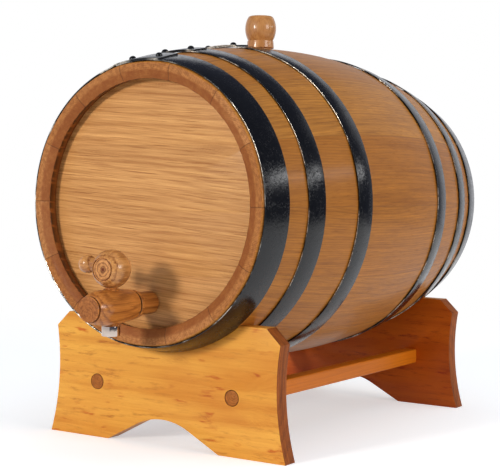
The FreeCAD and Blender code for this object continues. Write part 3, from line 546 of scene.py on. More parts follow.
# %% [markdown]
# ## Steel
#
# The hoops are strip steel under a thin black coating. Black paint shows almost nothing of its own
# colour, so what the eye reads is its gloss: the floor, the dark room and the lamps. The strip's edges
# are rubbed bare where the hoops were driven on. The attribute `rim` runs to 1 at a strip's edges and
# says where that may happen, and a slow noise along the hoop says where it did. Fine scuffs dull the
# coat in spots, so that a lamp's reflection breaks up.

# %% The steel recipes
STEEL_RELIEF, STEEL_SPECULAR = 0.22 * MM, 0.42
BLACK, FADED_BLACK, BARE_STEEL = screen(8, 9, 13), screen(20, 20, 22), screen(226, 218, 204)
WORN_RIM, WORN_PATCH = (0.93, 1.0), (0.46, 0.60)


def coated_steel(name, wear):
    """Black coated strip, worn bright on its rim."""
    material, bench = new_finish(name)
    place = bench.place()
    smear = bench.noise(place, 120.0, 4.0, 0.7)
    speck = bench.noise(place, 500.0, 3.0, 0.7)
    patch = bench.ramp(bench.noise(place, 26.0, 3.0, 0.6), *WORN_PATCH)
    bare = bench.ramp(bench.attribute("rim") + (speck - 0.5) * 0.3, *WORN_RIM) * patch * wear
    colour = bench.blend(bare, bench.blend(smear, BLACK, FADED_BLACK), BARE_STEEL)
    scuff = bench.ramp(speck, 0.42, 0.62) * bench.ramp(smear, 0.35, 0.6)
    rough = smear * 0.08 + scuff * 0.22 + bare * 0.2 + 0.07
    sockets = {"Base Color": colour, "Roughness": rough, "Metallic": bare,
               "Specular IOR Level": STEEL_SPECULAR}
    close_finish(bench, sockets, smear * 0.5 + speck * 0.5, STEEL_RELIEF)
    return material


def drawn_aluminium(name):
    """Bright tube with fine rings from drawing and turning."""
    material, bench = new_finish(name)
    place = bench.place()
    rings = bench.noise(bench.vector("MULTIPLY", place, (40.0, 40.0, 3200.0)), 1.0, 2.0)
    haze = bench.noise(place, 180.0, 2.0)
    colour = bench.blend(haze, screen(192, 176, 166), screen(212, 198, 188))
    sockets = {"Base Color": colour, "Roughness": 0.07 + rings * 0.06, "Metallic": 1.0}
    close_finish(bench, sockets, rings, 0.01 * MM)
    return material


hoop_steel = coated_steel("hoop_steel", 0.85)
rivet_steel = coated_steel("rivet_steel", 0.0)
spout_aluminium = drawn_aluminium("spout_aluminium")
print("metals:", ", ".join(item.name for item in (hoop_steel, rivet_steel, spout_aluminium)))

# %% [markdown]
# ## From outline to piece
#
# A few small tools serve every part. `round_corners` eases an outline's corners, because no real edge
# is a knife. `tidy_faces` closes a new mesh and turns its faces outwards, and `settle` makes what the
# modifiers show the piece's own mesh. `lay_grain` writes the wood attributes once the shape is final,
# and `finish_piece` gives the piece its material, its body and the nodes that it stands for.

# %% Shape tools


def round_corners(outline, closed=False, steps=4):
    """Draws each corner (along, radius, easing) of an outline as a small curve."""
    points = []
    last = len(outline) - 1
    for index, (along, radius, easing) in enumerate(outline):
        corner = Vector((along, radius))
        if easing == 0 or (not closed and index in (0, last)):
            points.append(corner)
            continue
        before = Vector(outline[index - 1][:2]) - corner
        after = Vector(outline[(index + 1) % len(outline)][:2]) - corner
        reach = min(easing, 0.45 * before.length, 0.45 * after.length)
        start = corner + before.normalized() * reach
        end = corner + after.normalized() * reach
        for step in range(steps + 1):
            share = step / steps
            points.append(start * (1 - share) ** 2 + corner * 2 * share * (1 - share) + end * share ** 2)
    return points


def settle(piece):
    """Turns what the modifiers make into the piece's own plain mesh."""
    graph = bpy.context.evaluated_depsgraph_get()
    shown = piece.evaluated_get(graph)
    mesh = bpy.data.meshes.new_from_object(shown, preserve_all_data_layers=True, depsgraph=graph)
    piece.modifiers.clear()
    piece.data = mesh
    return piece


@contextmanager
def open_mesh(mesh):
    """Opens a mesh for work on its points, edges and faces, and puts the result back."""
    work = bmesh.new()
    work.from_mesh(mesh)
    yield work
    work.to_mesh(mesh)
    work.free()


def tidy_faces(mesh):
    """Merges doubles and turns every face outwards."""
    with open_mesh(mesh) as work:
        bmesh.ops.remove_doubles(work, verts=work.verts, dist=0.002 * MM)
        bmesh.ops.recalc_face_normals(work, faces=work.faces)


print("a corner eased in 4 steps:", len(round_corners([(0, 0, 0), (1, 0, 0.1), (1, 1, 0)])) - 2, "points")

# %% Wood attributes


def write_attribute(mesh, name, kind, domain, values):
    """Stores one value for each point or face under a name."""
    layer = mesh.attributes.get(name) or mesh.attributes.new(name, kind, domain)
    field = "vector" if kind == "FLOAT_VECTOR" else "value"
    layer.data.foreach_set(field, np.asarray(values, np.float32).ravel())


def point_array(mesh):
    spots = np.empty(len(mesh.vertices) * 3)
    mesh.vertices.foreach_get("co", spots)
    return spots.reshape(-1, 3)


def lay_grain(piece, number, origin, along, out, ends_from=0.75, bent=0.0):
    """Writes where each point lies in its board. The out direction is one for all, or one a point,
    and bent is how far the board's own line stands out there. A face counts as cut across the grain
    from a share of its normal along the grain."""
    mesh = piece.data
    spots = point_array(mesh) - np.array(origin)
    along = np.array(along)
    out = np.broadcast_to(np.array(out), spots.shape)
    across = np.cross(along, out)
    grain = np.stack([(spots * across).sum(1), (spots * out).sum(1) - bent, spots @ along], axis=1)
    write_attribute(mesh, "grain", "FLOAT_VECTOR", "POINT", grain)
    write_attribute(mesh, "board", "FLOAT", "POINT", np.broadcast_to(number, len(spots)))
    normals = np.array([polygon.normal for polygon in mesh.polygons])
    ends = np.clip((np.abs(normals @ along) - ends_from) / 0.2, 0, 1)
    write_attribute(mesh, "cut", "FLOAT", "FACE", ends)


print("wood attributes: grain, board, cut, seam, worn and inner")

# %% Finish a piece
SHARP_ANGLE = math.radians(32)


def finish_piece(piece, material, body, slot, nodes):
    """Gives a piece its finish, its body and the nodes that it stands for. The slot is not used."""
    mesh = piece.data
    mesh.materials.clear()
    mesh.materials.append(material)
    mesh.shade_smooth()
    mesh.set_sharp_from_angle(angle=SHARP_ANGLE)
    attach(piece, body)
    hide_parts(*nodes)
    print(f"{piece.name}: {len(mesh.polygons)} faces, rides on {body}")


print("smooth shading up to", round(math.degrees(SHARP_ANGLE)), "degrees")

# %% [markdown]
# ## Staves
#
# A stave is a plank that is thick in the middle of its width only on paper: the cooper bends and
# planes it until the joints close, and the cask comes out as a faint polygon whose joints are
# hairline grooves. One blank is drawn as a grid, its outline along the stave and its columns round
# the cask, with the middle a hair flatter than the circle and the long edges eased. Geometry Nodes
# then stand thirteen copies round the axis and number them. The fourteenth has the bung hole, so it
# is a piece of its own.

# %% Mark out a stave
CHIME_FLAT = 7.0 * MM
BEVEL_RISE, BEVEL_DEPTH = 8.0 * MM, 3.6 * MM
STAVE_THICKNESS = 18.5 * MM
HOWEL = 4.0 * MM
CROZE_EASE = 0.15 * MM
HEAD_EDGE = 4.0 * MM
HEAD_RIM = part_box("front_head_board_3")[1].x
HEAD_RADIUS = HEAD_RIM - HEAD_EDGE
HEAD_FRONT, HEAD_INSIDE = (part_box("front_head_board_3")[i].y for i in (0, 1))
RIM_SHARE = 3 / 8
SKIN_STEPS = 40


def stave_outline():
    """The stave's section along the cask: distance from mid-length, radius, easing."""
    mouth = CENTRE.y - HEAD_FRONT + CROZE_EASE
    back = CENTRE.y - HEAD_INSIDE - CROZE_EASE
    slope = (HEAD_INSIDE - HEAD_FRONT) * RIM_SHARE
    floor = HEAD_RIM + CROZE_EASE
    belly = back - HOWEL
    half = [
        (HALF, CHIME, 1.6 * MM),
        (HALF, CHIME - CHIME_FLAT, 3.0 * MM),
        (HALF - BEVEL_DEPTH, CHIME - CHIME_FLAT - BEVEL_RISE, 0.9 * MM),
        (mouth, HEAD_RADIUS, 0.0),
        (mouth - slope, floor, 0.0),
        (back + slope, floor, 0.0),
        (back, HEAD_RADIUS, 0.3 * MM),
        (belly, skin(belly, STAVE_THICKNESS), 0.0),
    ]
    inside = [belly * (1 - 2 * step / SKIN_STEPS) for step in range(1, SKIN_STEPS)]
    outside = [HALF * (2 * step / SKIN_STEPS - 1) for step in range(1, SKIN_STEPS)]
    return (half + [(y, skin(y, STAVE_THICKNESS), 0.0) for y in inside]
            + [(-y, radius, easing) for y, radius, easing in reversed(half)]
            + [(y, skin(y), 0.0) for y in outside])


print("stave outline:", len(stave_outline()), "corners")

# %% Draw the stave blank
FACET, FACET_FADE = 0.45 * MM, 4 * MM
JOINT_EASING, JOINT_REACH = 0.15 * MM, 0.022
STAVE_COLUMNS = 26


def stave_blank(name):
    """One stave at the top of a cask whose centre is the origin."""
    section = round_corners(stave_outline(), closed=True, steps=3)
    count = len(section)
    inward = []
    for index, spot in enumerate(section):
        way = (section[(index + 1) % count] - section[index - 1]).normalized()
        inward.append(Vector((way.y, -way.x)))
    shares = [2 * column / STAVE_COLUMNS - 1 for column in range(STAVE_COLUMNS + 1)]
    shares = sorted(shares + [JOINT_REACH - 1, 1 - JOINT_REACH])
    spots = []
    for share in shares:
        angle = share * STAVE_ANGLE / 2
        easing = JOINT_EASING * max(0.0, (abs(share) - 1 + JOINT_REACH) / JOINT_REACH) ** 2
        for spot, side in zip(section, inward):
            y, radius = spot + side * easing
            depth = max(0.0, 1 - max(0.0, skin(min(abs(y), HALF)) - radius) / FACET_FADE)
            radius -= FACET * (1 - share ** 2) * depth
            spots.append((radius * math.sin(angle), y, radius * math.cos(angle)))
    faces = [tuple(reversed(range(count))), tuple(range(len(spots) - count, len(spots)))]
    for column in range(len(shares) - 1):
        start = column * count
        for index in range(count):
            after = (index + 1) % count
            faces.append((start + index, start + after, start + count + after, start + count + index))
    mesh = bpy.data.meshes.new(name)
    mesh.from_pydata(spots, [], faces)
    tidy_faces(mesh)
    return link(name, mesh)


blank = stave_blank("stave_blank")
print("stave blank:", len(blank.data.polygons), "faces")

# %% [markdown]
# The tree below has named inputs for the number of copies and the angle between them. Every copy
# stands at the same spot and differs only by its turn about the cask's axis. Its number is stored on
# the copy before the copies are made real, so each point still knows its stave afterwards.

# %% Tools for Geometry Nodes


def recipe(name, sizes):
    """A Geometry Nodes tree with named inputs, as its bench and a signal for each input."""
    tree = bpy.data.node_groups.new(name, "GeometryNodeTree")
    tree.is_modifier = True
    sizes = dict({"Geometry": "NodeSocketGeometry"}, **sizes)
    for size, kind in sizes.items():
        tree.interface.new_socket(name=size, in_out="INPUT", socket_type=kind)
    tree.interface.new_socket(name="Geometry", in_out="OUTPUT", socket_type="NodeSocketGeometry")
    bench = Bench(tree)
    start = tree.nodes.new("NodeGroupInput")
    return bench, {size: Signal(bench, start.outputs[size]) for size in sizes}


def close_recipe(bench, shape, material):
    """Ends a tree with real geometry in its material."""
    shape = bench.node("GeometryNodeRealizeInstances", None, {0: shape})
    shape = bench.node("GeometryNodeSetMaterial", None, {0: shape, "Material": material})
    bench.node("NodeGroupOutput", None, {0: shape})
    return bench.tree


def follow_recipe(piece, tree, **values):
    """Runs a tree on a piece with values for its named inputs, and keeps the result as a mesh."""
    modifier = piece.modifiers.new(tree.name, "NODES")
    modifier.node_group = tree
    for item in tree.interface.items_tree:
        if item.in_out == "INPUT" and item.name in values:
            modifier[item.identifier] = values[item.name]
    return settle(piece)


print("a recipe takes named inputs and ends in real geometry")

# %% The ring recipe


def ring_recipe():
    bench, size = recipe("stave_ring", {"Copies": "NodeSocketInt", "Step": "NodeSocketFloat",
                                        "Centre": "NodeSocketVector"})
    points = bench.node("GeometryNodePoints", None, {"Count": size["Copies"]})
    number = bench.node("GeometryNodeInputIndex") + 1.0
    turned = bench.node("ShaderNodeCombineXYZ", None, {"Y": number * size["Step"]})
    sockets = {"Points": points, "Instance": size["Geometry"], "Rotation": turned}
    copies = bench.node("GeometryNodeInstanceOnPoints", None, sockets)
    number = bench.node("GeometryNodeInputIndex") + 1.0
    stored = bench.node("GeometryNodeStoreNamedAttribute", {"data_type": "FLOAT", "domain": "INSTANCE"},
                        {0: copies, "Name": "board", "Value": number})
    placed = bench.node("GeometryNodeTransform", None, {0: stored, "Translation": size["Centre"]})
    return close_recipe(bench, placed, stave_oak)


ring_tree = ring_recipe()
print("ring recipe:", len(ring_tree.nodes), "nodes")

# %% [markdown]
# A cooper cuts the bevels inside a chime with a curved blade and leaves ripples, which are real shape
# here. The wall between the bevel and the head gets the darkest painted shade, and the bevel itself is
# darkened partly as a rough cut and partly as painted shade. Each joint is a fine dark line, strongest
# on the end grain of the chime.

# %% Finish the staves
SKIN_SEAM, WALL_STAIN = 0.4, 1.25
CHIME_REACH, MARKS_REACH = 15 * MM, 14 * MM
MARKS_FROM, MARKS_TO = HEAD_RADIUS - 4 * MM, CHIME - CHIME_FLAT + 0.5 * MM
MARK_DEPTH = 0.32 * MM
COARSE_MARKS, FINE_MARKS = 260, 610


def rough_chime(piece):
    """Leaves a cooper's tool marks on the bevels inside both chimes."""
    for vertex in piece.data.vertices:
        arm = Vector((vertex.co.x, 0, vertex.co.z - CENTRE.z))
        distance = abs(vertex.co.y - CENTRE.y)
        if distance > HALF - MARKS_REACH and MARKS_FROM < arm.length < MARKS_TO:
            bumps = noise.noise(vertex.co * COARSE_MARKS) + 0.5 * noise.noise(vertex.co * FINE_MARKS)
            vertex.co += arm.normalized() * bumps * MARK_DEPTH


def finish_staves(piece, numbers, nodes):
    """Tool marks, grain and finish of one stave or a ring of them."""
    rough_chime(piece)
    angles = np.asarray(numbers) * STAVE_ANGLE
    out = np.stack([np.sin(angles), 0 * angles, np.cos(angles)], axis=-1)
    mesh = piece.data
    spots = point_array(mesh) - np.array(CENTRE)
    bent = BILGE - BEND + np.sqrt(BEND ** 2 - np.clip(spots[:, 1], -HALF, HALF) ** 2)
    lay_grain(piece, numbers, CENTRE, TO_BACK, out, bent=bent)
    radius = np.hypot(spots[:, 0], spots[:, 2])
    lean = np.arctan2(spots[:, 0], spots[:, 2]) - angles
    share = np.abs((lean + math.pi) % (2 * math.pi) - math.pi) / (STAVE_ANGLE / 2)
    at_end = np.abs(spots[:, 1]) > HALF - CHIME_REACH
    joint = np.clip((share - 1) / JOINT_REACH + 1, 0, 1) * np.where(at_end, 1.0, SKIN_SEAM)
    # The chime's inner wall beside the head is darkened as painted shade, and the bevel's mark is partly
    # painted shade.
    wall = at_end & (radius < CHIME - CHIME_FLAT - BEVEL_RISE + 0.3 * MM)
    write_attribute(mesh, "seam", "FLOAT", "POINT", np.maximum(joint, wall * WALL_STAIN))
    write_attribute(mesh, "worn", "FLOAT", "POINT", at_end & (radius < CHIME - CHIME_FLAT + 0.3 * MM))
    finish_piece(piece, stave_oak, "cask", "stave_oak", nodes)


staves = link("staves", blank.data.copy())
follow_recipe(staves, ring_tree, Copies=STAVE_COUNT - 1, Step=STAVE_ANGLE, Centre=CENTRE)
numbers = np.empty(len(staves.data.vertices), np.float32)
staves.data.attributes["board"].data.foreach_get("value", numbers)
finish_staves(staves, np.round(numbers), STAVE_NODES)

# %% [markdown]
# The bung stave is the same blank with a tapered hole through its middle. The hole follows the bung's
# shank with a hair of clearance. `turn` sweeps an outline about an axis, as a lathe does, and
# `cut_away` takes such a shape out of a piece. Both serve the heads, the tap and the bung as well.

# %% A lathe and a drill
TURN_STEPS = 96
OVERCUT = 2 * MM


def turn(name, outline, origin, axis, steps=TURN_STEPS):
    """Turns an outline of (along, radius) points about an axis into a closed shape."""
    side = axis.orthogonal().normalized()
    spots, rings, faces = [], [], []
    for along, radius in outline:
        count = 1 if radius < 0.001 * MM else steps
        rings.append([len(spots) + step for step in range(count)])
        for step in range(count):
            arm = Matrix.Rotation(2 * math.pi * step / steps, 3, axis) @ side
            spots.append(origin + axis * along + arm * radius)
    for first, second in zip(rings, rings[1:]):
        for step in range(steps):
            around = [first[step % len(first)], first[(step + 1) % len(first)],
                      second[(step + 1) % len(second)], second[step % len(second)]]
            face = list(dict.fromkeys(around))
            if len(face) > 2:
                faces.append(face)
    mesh = bpy.data.meshes.new(name)
    mesh.from_pydata(spots, [], faces)
    tidy_faces(mesh)
    return link(name, mesh)


def drill(start, end, first, last=None):
    """The outline of a hole between two depths, straight or tapered."""
    return [(start, 0), (start, first), (end, last or first), (end, 0)]


def cut_away(piece, *cutters):
    """Takes the cutters' shapes out of a piece."""
    for cutter in cutters:
        modifier = piece.modifiers.new(cutter.name, "BOOLEAN")
        modifier.operation = "DIFFERENCE"
        modifier.solver = "EXACT"
        modifier.object = cutter
    settle(piece)
    for cutter in cutters:
        bpy.data.objects.remove(cutter)
    return piece


print("a full turn takes", TURN_STEPS, "steps")

# %% Bore the bung stave
BUNG_LOW, BUNG_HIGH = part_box("bung")
BUNG_AXIS = Vector((0, (BUNG_LOW.y + BUNG_HIGH.y) / 2, 0))
BUNG_SHANK = 28.0 * MM
BUNG_TIP, BUNG_TOP = 10.3 * MM, 11.5 * MM
BUNG_SEAT = BUNG_LOW.z + BUNG_SHANK
BUNG_EASE = 0.08 * MM

bung_stave = link("bung_stave", blank.data)
bpy.data.objects.remove(blank)
bung_stave.data.transform(Matrix.Translation(CENTRE))
flare = (BUNG_TOP - BUNG_TIP) / BUNG_SHANK * OVERCUT
hole = drill(-OVERCUT, BUNG_SHANK + OVERCUT, BUNG_TIP + BUNG_EASE - flare, BUNG_TOP + BUNG_EASE + flare)
cut_away(bung_stave, turn("bung_hole", hole, BUNG_AXIS + UP * BUNG_LOW.z, UP))
finish_staves(bung_stave, np.zeros(len(bung_stave.data.vertices)), ["bung_stave"])

# %% [markdown]
# ## Heads
#
# Each head is four boards sawn to a disc, bevelled at the rim to sit in the staves' groove. The full
# disc is turned once, and two straight cuts leave a board. A narrow bevel on its edges draws the
# joints, as fine as on a well-planed head.

# %% A saw and a plane


def saw(piece, height, keep):
    """Cuts a piece level at a height and keeps what is below (-1) or above (1), closed again."""
    spot, way = (0, 0, height), (0, 0, -keep)
    with open_mesh(piece.data) as work:
        parts = list(work.verts) + list(work.edges) + list(work.faces)
        bmesh.ops.bisect_plane(work, geom=parts, plane_co=spot, plane_no=way, clear_outer=True)
        bmesh.ops.holes_fill(work, edges=[edge for edge in work.edges if edge.is_boundary])
        bmesh.ops.recalc_face_normals(work, faces=work.faces)


def round_edges(piece, width, segments, degrees):
    """Rounds every edge that is sharper than an angle."""
    bevel = piece.modifiers.new("rounding", "BEVEL")
    bevel.width, bevel.segments = width, segments
    bevel.limit_method, bevel.angle_limit = "ANGLE", math.radians(degrees)
    return settle(piece)


print("a sawn board is closed again, and its edges can be rounded")

# %% Saw the head boards
BOARD_BEVEL = 0.16 * MM
HEAD_TURN_STEPS = 192
HEAD_GRAIN = Matrix.Rotation(math.radians(4), 3, "Y") @ TO_RIGHT


def head_disc(name, face, inside):
    """A whole head from its outer face to its inner one, bevelled to a rim."""
    rim = (inside - face) * RIM_SHARE
    outline = [(0, 0), (0, HEAD_RADIUS), (rim, HEAD_RIM), (inside - face - rim, HEAD_RIM),
               (inside - face, HEAD_RADIUS), (inside - face, 0)]
    return turn(name, outline, Vector((0, face, CENTRE.z)), TO_BACK, HEAD_TURN_STEPS)


def head_board(node):
    low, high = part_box(node)
    board = head_disc(node + "_shown", low.y, high.y)
    if low.z > CENTRE.z - HEAD_RIM + MM:
        saw(board, low.z, 1)
    if high.z < CENTRE.z + HEAD_RIM - MM:
        saw(board, high.z, -1)
    return round_edges(board, BOARD_BEVEL, 2, 28)


TAP_LOW, TAP_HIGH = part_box("tap_body")
TAP_AXIS_Z = (TAP_LOW.z + TAP_HIGH.z) / 2
SHANK_FACE, SHANK_TIP, SHANK_EASE = 8.0 * MM, 7.0 * MM, 0.05 * MM

for end, first_number in (("front", 20), ("rear", 30)):
    for step in range(4):
        node = f"{end}_head_board_{step + 1}"
        board = head_board(node)
        low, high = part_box(node)
        if end == "front" and low.z < TAP_AXIS_Z < high.z:
            inner = TAP_HIGH.y - HEAD_FRONT
            flare = (SHANK_FACE - SHANK_TIP) / inner * OVERCUT
            bore = drill(-OVERCUT, inner, SHANK_FACE + SHANK_EASE + flare, SHANK_TIP + SHANK_EASE)
            cut_away(board, turn("tap_hole", bore, Vector((0, HEAD_FRONT, TAP_AXIS_Z)), TO_BACK))
        middle = Vector((0, (low.y + high.y) / 2, (low.z + high.z) / 2))
        lay_grain(board, first_number + step, middle, HEAD_GRAIN, TO_BACK if end == "rear" else -TO_BACK)
        finish_piece(board, head_oak, "cask", "head_oak", [node])

# %% [markdown]
# ## Hoops
#
# A hoop is one length of strip steel, wound once round the cask until its end climbs over its start,
# and riveted there. That is a path with a profile, which is what Geometry Nodes draw best. A row of
# points is bent into a circle by its index, and the last stretch is raised by one gauge. The profile
# is a thin rectangle with eased corners, tilted to the slope of the cask.

# %% The hoop recipe
GAUGE = 1.2 * MM
HOOP_EASE = 0.25 * MM
LAP_LENGTH = 48.0 * MM
LAP_LEAN = math.radians(-4.3)
STEP_LENGTH = 9.0 * MM
HOOP_STEPS = 260


def hoop_recipe():
    sizes = {name: "NodeSocketFloat" for name in ("Radius", "Gauge", "Width", "Slope", "Lap", "Lean", "Step")}
    bench, size = recipe("lapped_hoop", dict(sizes, Centre="NodeSocketVector"))
    line = bench.node("GeometryNodeMeshLine", None, {"Count": HOOP_STEPS + 1})
    share = bench.node("GeometryNodeInputIndex") / float(HOOP_STEPS)
    lap = size["Lap"] / size["Radius"]
    travel = share * (lap + 2 * math.pi)
    angle = travel + size["Lean"] - lap / 2.0
    rise = bench.ramp(travel, 2 * math.pi - size["Step"] / size["Radius"], 2 * math.pi)
    radius = size["Radius"] + rise * size["Gauge"]
    across, upward = radius * bench.math("SINE", angle), radius * bench.math("COSINE", angle)
    spot = bench.node("ShaderNodeCombineXYZ", None, {"X": across, "Y": upward})
    bent = bench.node("GeometryNodeSetPosition", None, {0: line, "Position": spot})
    path = bench.node("GeometryNodeMeshToCurve", None, {0: bent})
    path = bench.node("GeometryNodeSetCurveNormal", {"mode": "Z_UP"}, {0: path})
    path = bench.node("GeometryNodeSetCurveTilt", None, {0: path, "Tilt": size["Slope"]})
    strip = bench.node("GeometryNodeCurvePrimitiveQuadrilateral", None,
                       {"Width": size["Gauge"], "Height": size["Width"]})
    strip = bench.node("GeometryNodeFilletCurve", {"mode": "POLY"},
                       {"Curve": strip, "Count": 3, "Radius": size["Gauge"] * 0.3})
    edge = bench.math("ABSOLUTE", bench.part(bench.node("GeometryNodeInputPosition"), "Y"))
    rim = 1 - (size["Width"] / 2.0 - edge) / (size["Gauge"] * 1.6)
    strip = bench.node("GeometryNodeStoreNamedAttribute", {"data_type": "FLOAT", "domain": "POINT"},
                       {0: strip, "Name": "rim", "Value": rim})
    band = bench.node("GeometryNodeCurveToMesh", None,
                      {"Curve": path, "Profile Curve": strip, "Fill Caps": True})
    upright = bench.node("GeometryNodeTransform", None,
                         {0: band, "Translation": size["Centre"], "Rotation": (math.pi / 2, 0.0, 0.0)})
    return close_recipe(bench, upright, hoop_steel)


hoop_tree = hoop_recipe()
print("hoop recipe:", len(hoop_tree.nodes), "nodes")

# %% Wind the six hoops
HOOPS = [f"{end}_{kind}_hoop" for end in ("front", "rear") for kind in ("chime", "quarter", "bilge")]


def hoop_lines(node):
    """A hoop's middle along the cask, its width, its inside radius there and its slope."""
    low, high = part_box(node)
    start, end = low.y - CENTRE.y, high.y - CENTRE.y
    inside = (skin(start) + skin(end)) / 2 + HOOP_EASE
    slope = math.atan2(skin(end) - skin(start), end - start)
    return (start + end) / 2, end - start, inside, slope


for node in HOOPS:
    middle, width, inside, slope = hoop_lines(node)
    hoop = link(node + "_shown", bpy.data.meshes.new(node))
    follow_recipe(hoop, hoop_tree, Radius=inside + GAUGE / 2, Gauge=GAUGE, Width=width, Slope=slope,
                  Lap=LAP_LENGTH, Lean=LAP_LEAN, Step=STEP_LENGTH, Centre=CENTRE + TO_BACK * middle)
    tidy_faces(hoop.data)
    finish_piece(hoop, hoop_steel, "cask", "hoop_steel", [node])

# %% [markdown]
# ## Rivets
#
# Two domed rivets close each lap. Twelve points mark their places and carry the direction that each
# rivet points in. Geometry Nodes stand one small dome on every point, and a seeded random number makes
# each a little larger or smaller, as hammered heads are.

# %% Set the rivets
RIVET_SPACING = 29.0 * MM
RIVET_RADIUS, RIVET_HEIGHT = 3.3 * MM, 2.6 * MM
RIVET_SINK = 2.4 * MM


def rivet_recipe(dome):
    bench, size = recipe("rivet_row", {"Spread": "NodeSocketFloat", "Seed": "NodeSocketInt"})
    facing = bench.node("GeometryNodeInputNamedAttribute", {"data_type": "FLOAT_VECTOR"}, {"Name": "facing"})
    turned = bench.node("FunctionNodeAlignRotationToVector", {"axis": "Z"}, {"Vector": facing})
    scale = bench.node("FunctionNodeRandomValue", {"data_type": "FLOAT"},
                       {2: 1 - size["Spread"], 3: 1.0, "Seed": size["Seed"]}, output=1)
    shape = bench.node("GeometryNodeObjectInfo", None, {"Object": dome}, output="Geometry")
    heads = bench.node("GeometryNodeInstanceOnPoints", None,
                       {"Points": size["Geometry"], "Instance": shape, "Rotation": turned, "Scale": scale})
    return close_recipe(bench, heads, rivet_steel)


def rivet_places():
    """Where each rivet's head starts and the way it points."""
    spots, ways = [], []
    for node in HOOPS:
        middle, width, inside, slope = hoop_lines(node)
        for side in (-1, 1):
            angle = LAP_LEAN + side * RIVET_SPACING / 2 / inside
            arm = Vector((math.sin(angle), 0, math.cos(angle)))
            way = (arm * math.cos(slope) - TO_BACK * math.sin(slope)).normalized()
            spots.append(CENTRE + TO_BACK * middle + arm * inside + way * 2 * GAUGE)
            ways.append(way)
    return spots, ways


dome_outline = [(-RIVET_SINK, 0), (-RIVET_SINK, RIVET_RADIUS / 2), (0, RIVET_RADIUS / 2), (0, RIVET_RADIUS)]
dome_angles = [math.pi / 2 * step / 7 for step in range(1, 8)]
dome_outline += [(RIVET_HEIGHT * math.sin(angle), RIVET_RADIUS * math.cos(angle)) for angle in dome_angles]
dome = turn("rivet_dome", dome_outline, Vector((0, 0, 0)), UP, 28)
spots, ways = rivet_places()
row = bpy.data.meshes.new("hoop_rivets")
row.from_pydata(spots, [], [])
write_attribute(row, "facing", "FLOAT_VECTOR", "POINT", ways)
rivets = link("hoop_rivets_shown", row)
follow_recipe(rivets, rivet_recipe(dome), Spread=0.06, Seed=4)
bpy.data.objects.remove(dome)
finish_piece(rivets, rivet_steel, "cask", "rivet_steel", ["hoop_rivets"])

# %% [markdown]
# ## Tap
#
# The tap is turned from one billet: a tapered shank, a slim collar whose rounded foot beds on the head,
# a ring, and a barrel that swells towards its nose and ends in a disc of end grain. Two turned grooves
# part them. The outline is written as the turner would mark it, as distances out of the head's face.

# %% Mark out the tap's body
COLLAR_RADIUS, COLLAR_LENGTH, COLLAR_FOOT = 10.3 * MM, 24.5 * MM, 2.6 * MM
BEAD_RADIUS, BEAD_WIDTH = 12.7 * MM, 4.0 * MM
RING_GROOVE_WIDTH, RING_GROOVE_DEPTH = 2.3 * MM, 2.4 * MM
NOSE_GROOVE_WIDTH, NOSE_GROOVE_DEPTH = 1.1 * MM, 0.9 * MM
SHOULDER_RADIUS, FRONT_RADIUS = 13.4 * MM, 11.6 * MM
WIDEST_PLACE = 68.0 * MM
NOSE_RADIUS, NOSE_LENGTH = 11.0 * MM, 1.4 * MM
TAP_REACH = HEAD_FRONT - TAP_LOW.y
BARREL_RADIUS = (TAP_HIGH.z - TAP_LOW.z) / 2
KEY_LOW, KEY_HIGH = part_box("tap_key")
KEY_AXIS = Vector(((KEY_LOW.x + KEY_HIGH.x) / 2, (KEY_LOW.y + KEY_HIGH.y) / 2, 0))
TAP_CROSSING = KEY_AXIS + UP * TAP_AXIS_Z
KEY_TOP, KEY_BOTTOM, KEY_EASE = 6.75 * MM, 5.75 * MM, 0.06 * MM
FLOW_RADIUS = 3.0 * MM


def level_bow(top, foot, steps):
    """Corners on an arc that starts level at its top and falls to its foot."""
    run, fall = foot[0] - top[0], top[1] - foot[1]
    radius = (run ** 2 + fall ** 2) / (2 * fall)
    sweep = math.asin(abs(run) / radius)
    angles = [sweep * step / steps for step in range(1, steps)]
    way = math.copysign(radius, run)
    spots = [(top[0] + way * math.sin(angle), top[1] - radius * (1 - math.cos(angle))) for angle in angles]
    return [(along, height, 0.0) for along, height in spots]


bead_end = COLLAR_LENGTH + BEAD_WIDTH
barrel_start = (bead_end + RING_GROOVE_WIDTH, SHOULDER_RADIUS)
widest = (WIDEST_PLACE, BARREL_RADIUS)
nose_start = TAP_REACH - NOSE_LENGTH
barrel_end = (nose_start - NOSE_GROOVE_WIDTH, FRONT_RADIUS)
tap_outline = [
    (HEAD_FRONT - TAP_HIGH.y, 0.0, 0.0),
    (HEAD_FRONT - TAP_HIGH.y, SHANK_TIP, 0.6 * MM),
    (0.0, SHANK_FACE, 0.0),
    *reversed(level_bow((COLLAR_FOOT, COLLAR_RADIUS), (0.0, SHANK_FACE), 8)),
    (COLLAR_FOOT, COLLAR_RADIUS, 0.0),
    (COLLAR_LENGTH, COLLAR_RADIUS, 0.8 * MM),
    (COLLAR_LENGTH, BEAD_RADIUS, 1.0 * MM),
    (bead_end, BEAD_RADIUS, 1.0 * MM),
    (bead_end, BEAD_RADIUS - RING_GROOVE_DEPTH, 0.2 * MM),
    (barrel_start[0], BEAD_RADIUS - RING_GROOVE_DEPTH, 0.2 * MM),
    (*barrel_start, 0.8 * MM),
    *reversed(level_bow(widest, barrel_start, 20)),
    (*widest, 0.0),
    *level_bow(widest, barrel_end, 14),
    (*barrel_end, 0.5 * MM),
    (barrel_end[0], NOSE_RADIUS - NOSE_GROOVE_DEPTH, 0.2 * MM),
    (nose_start, NOSE_RADIUS - NOSE_GROOVE_DEPTH, 0.2 * MM),
    (nose_start, NOSE_RADIUS, 0.5 * MM),
    (TAP_REACH, NOSE_RADIUS, 0.7 * MM),
    (TAP_REACH, 0.0, 0.0),
]
print("tap outline:", len(tap_outline), "corners over", round(tap_outline[-1][0] / MM), "mm")

# %% Turn and bore the tap's body


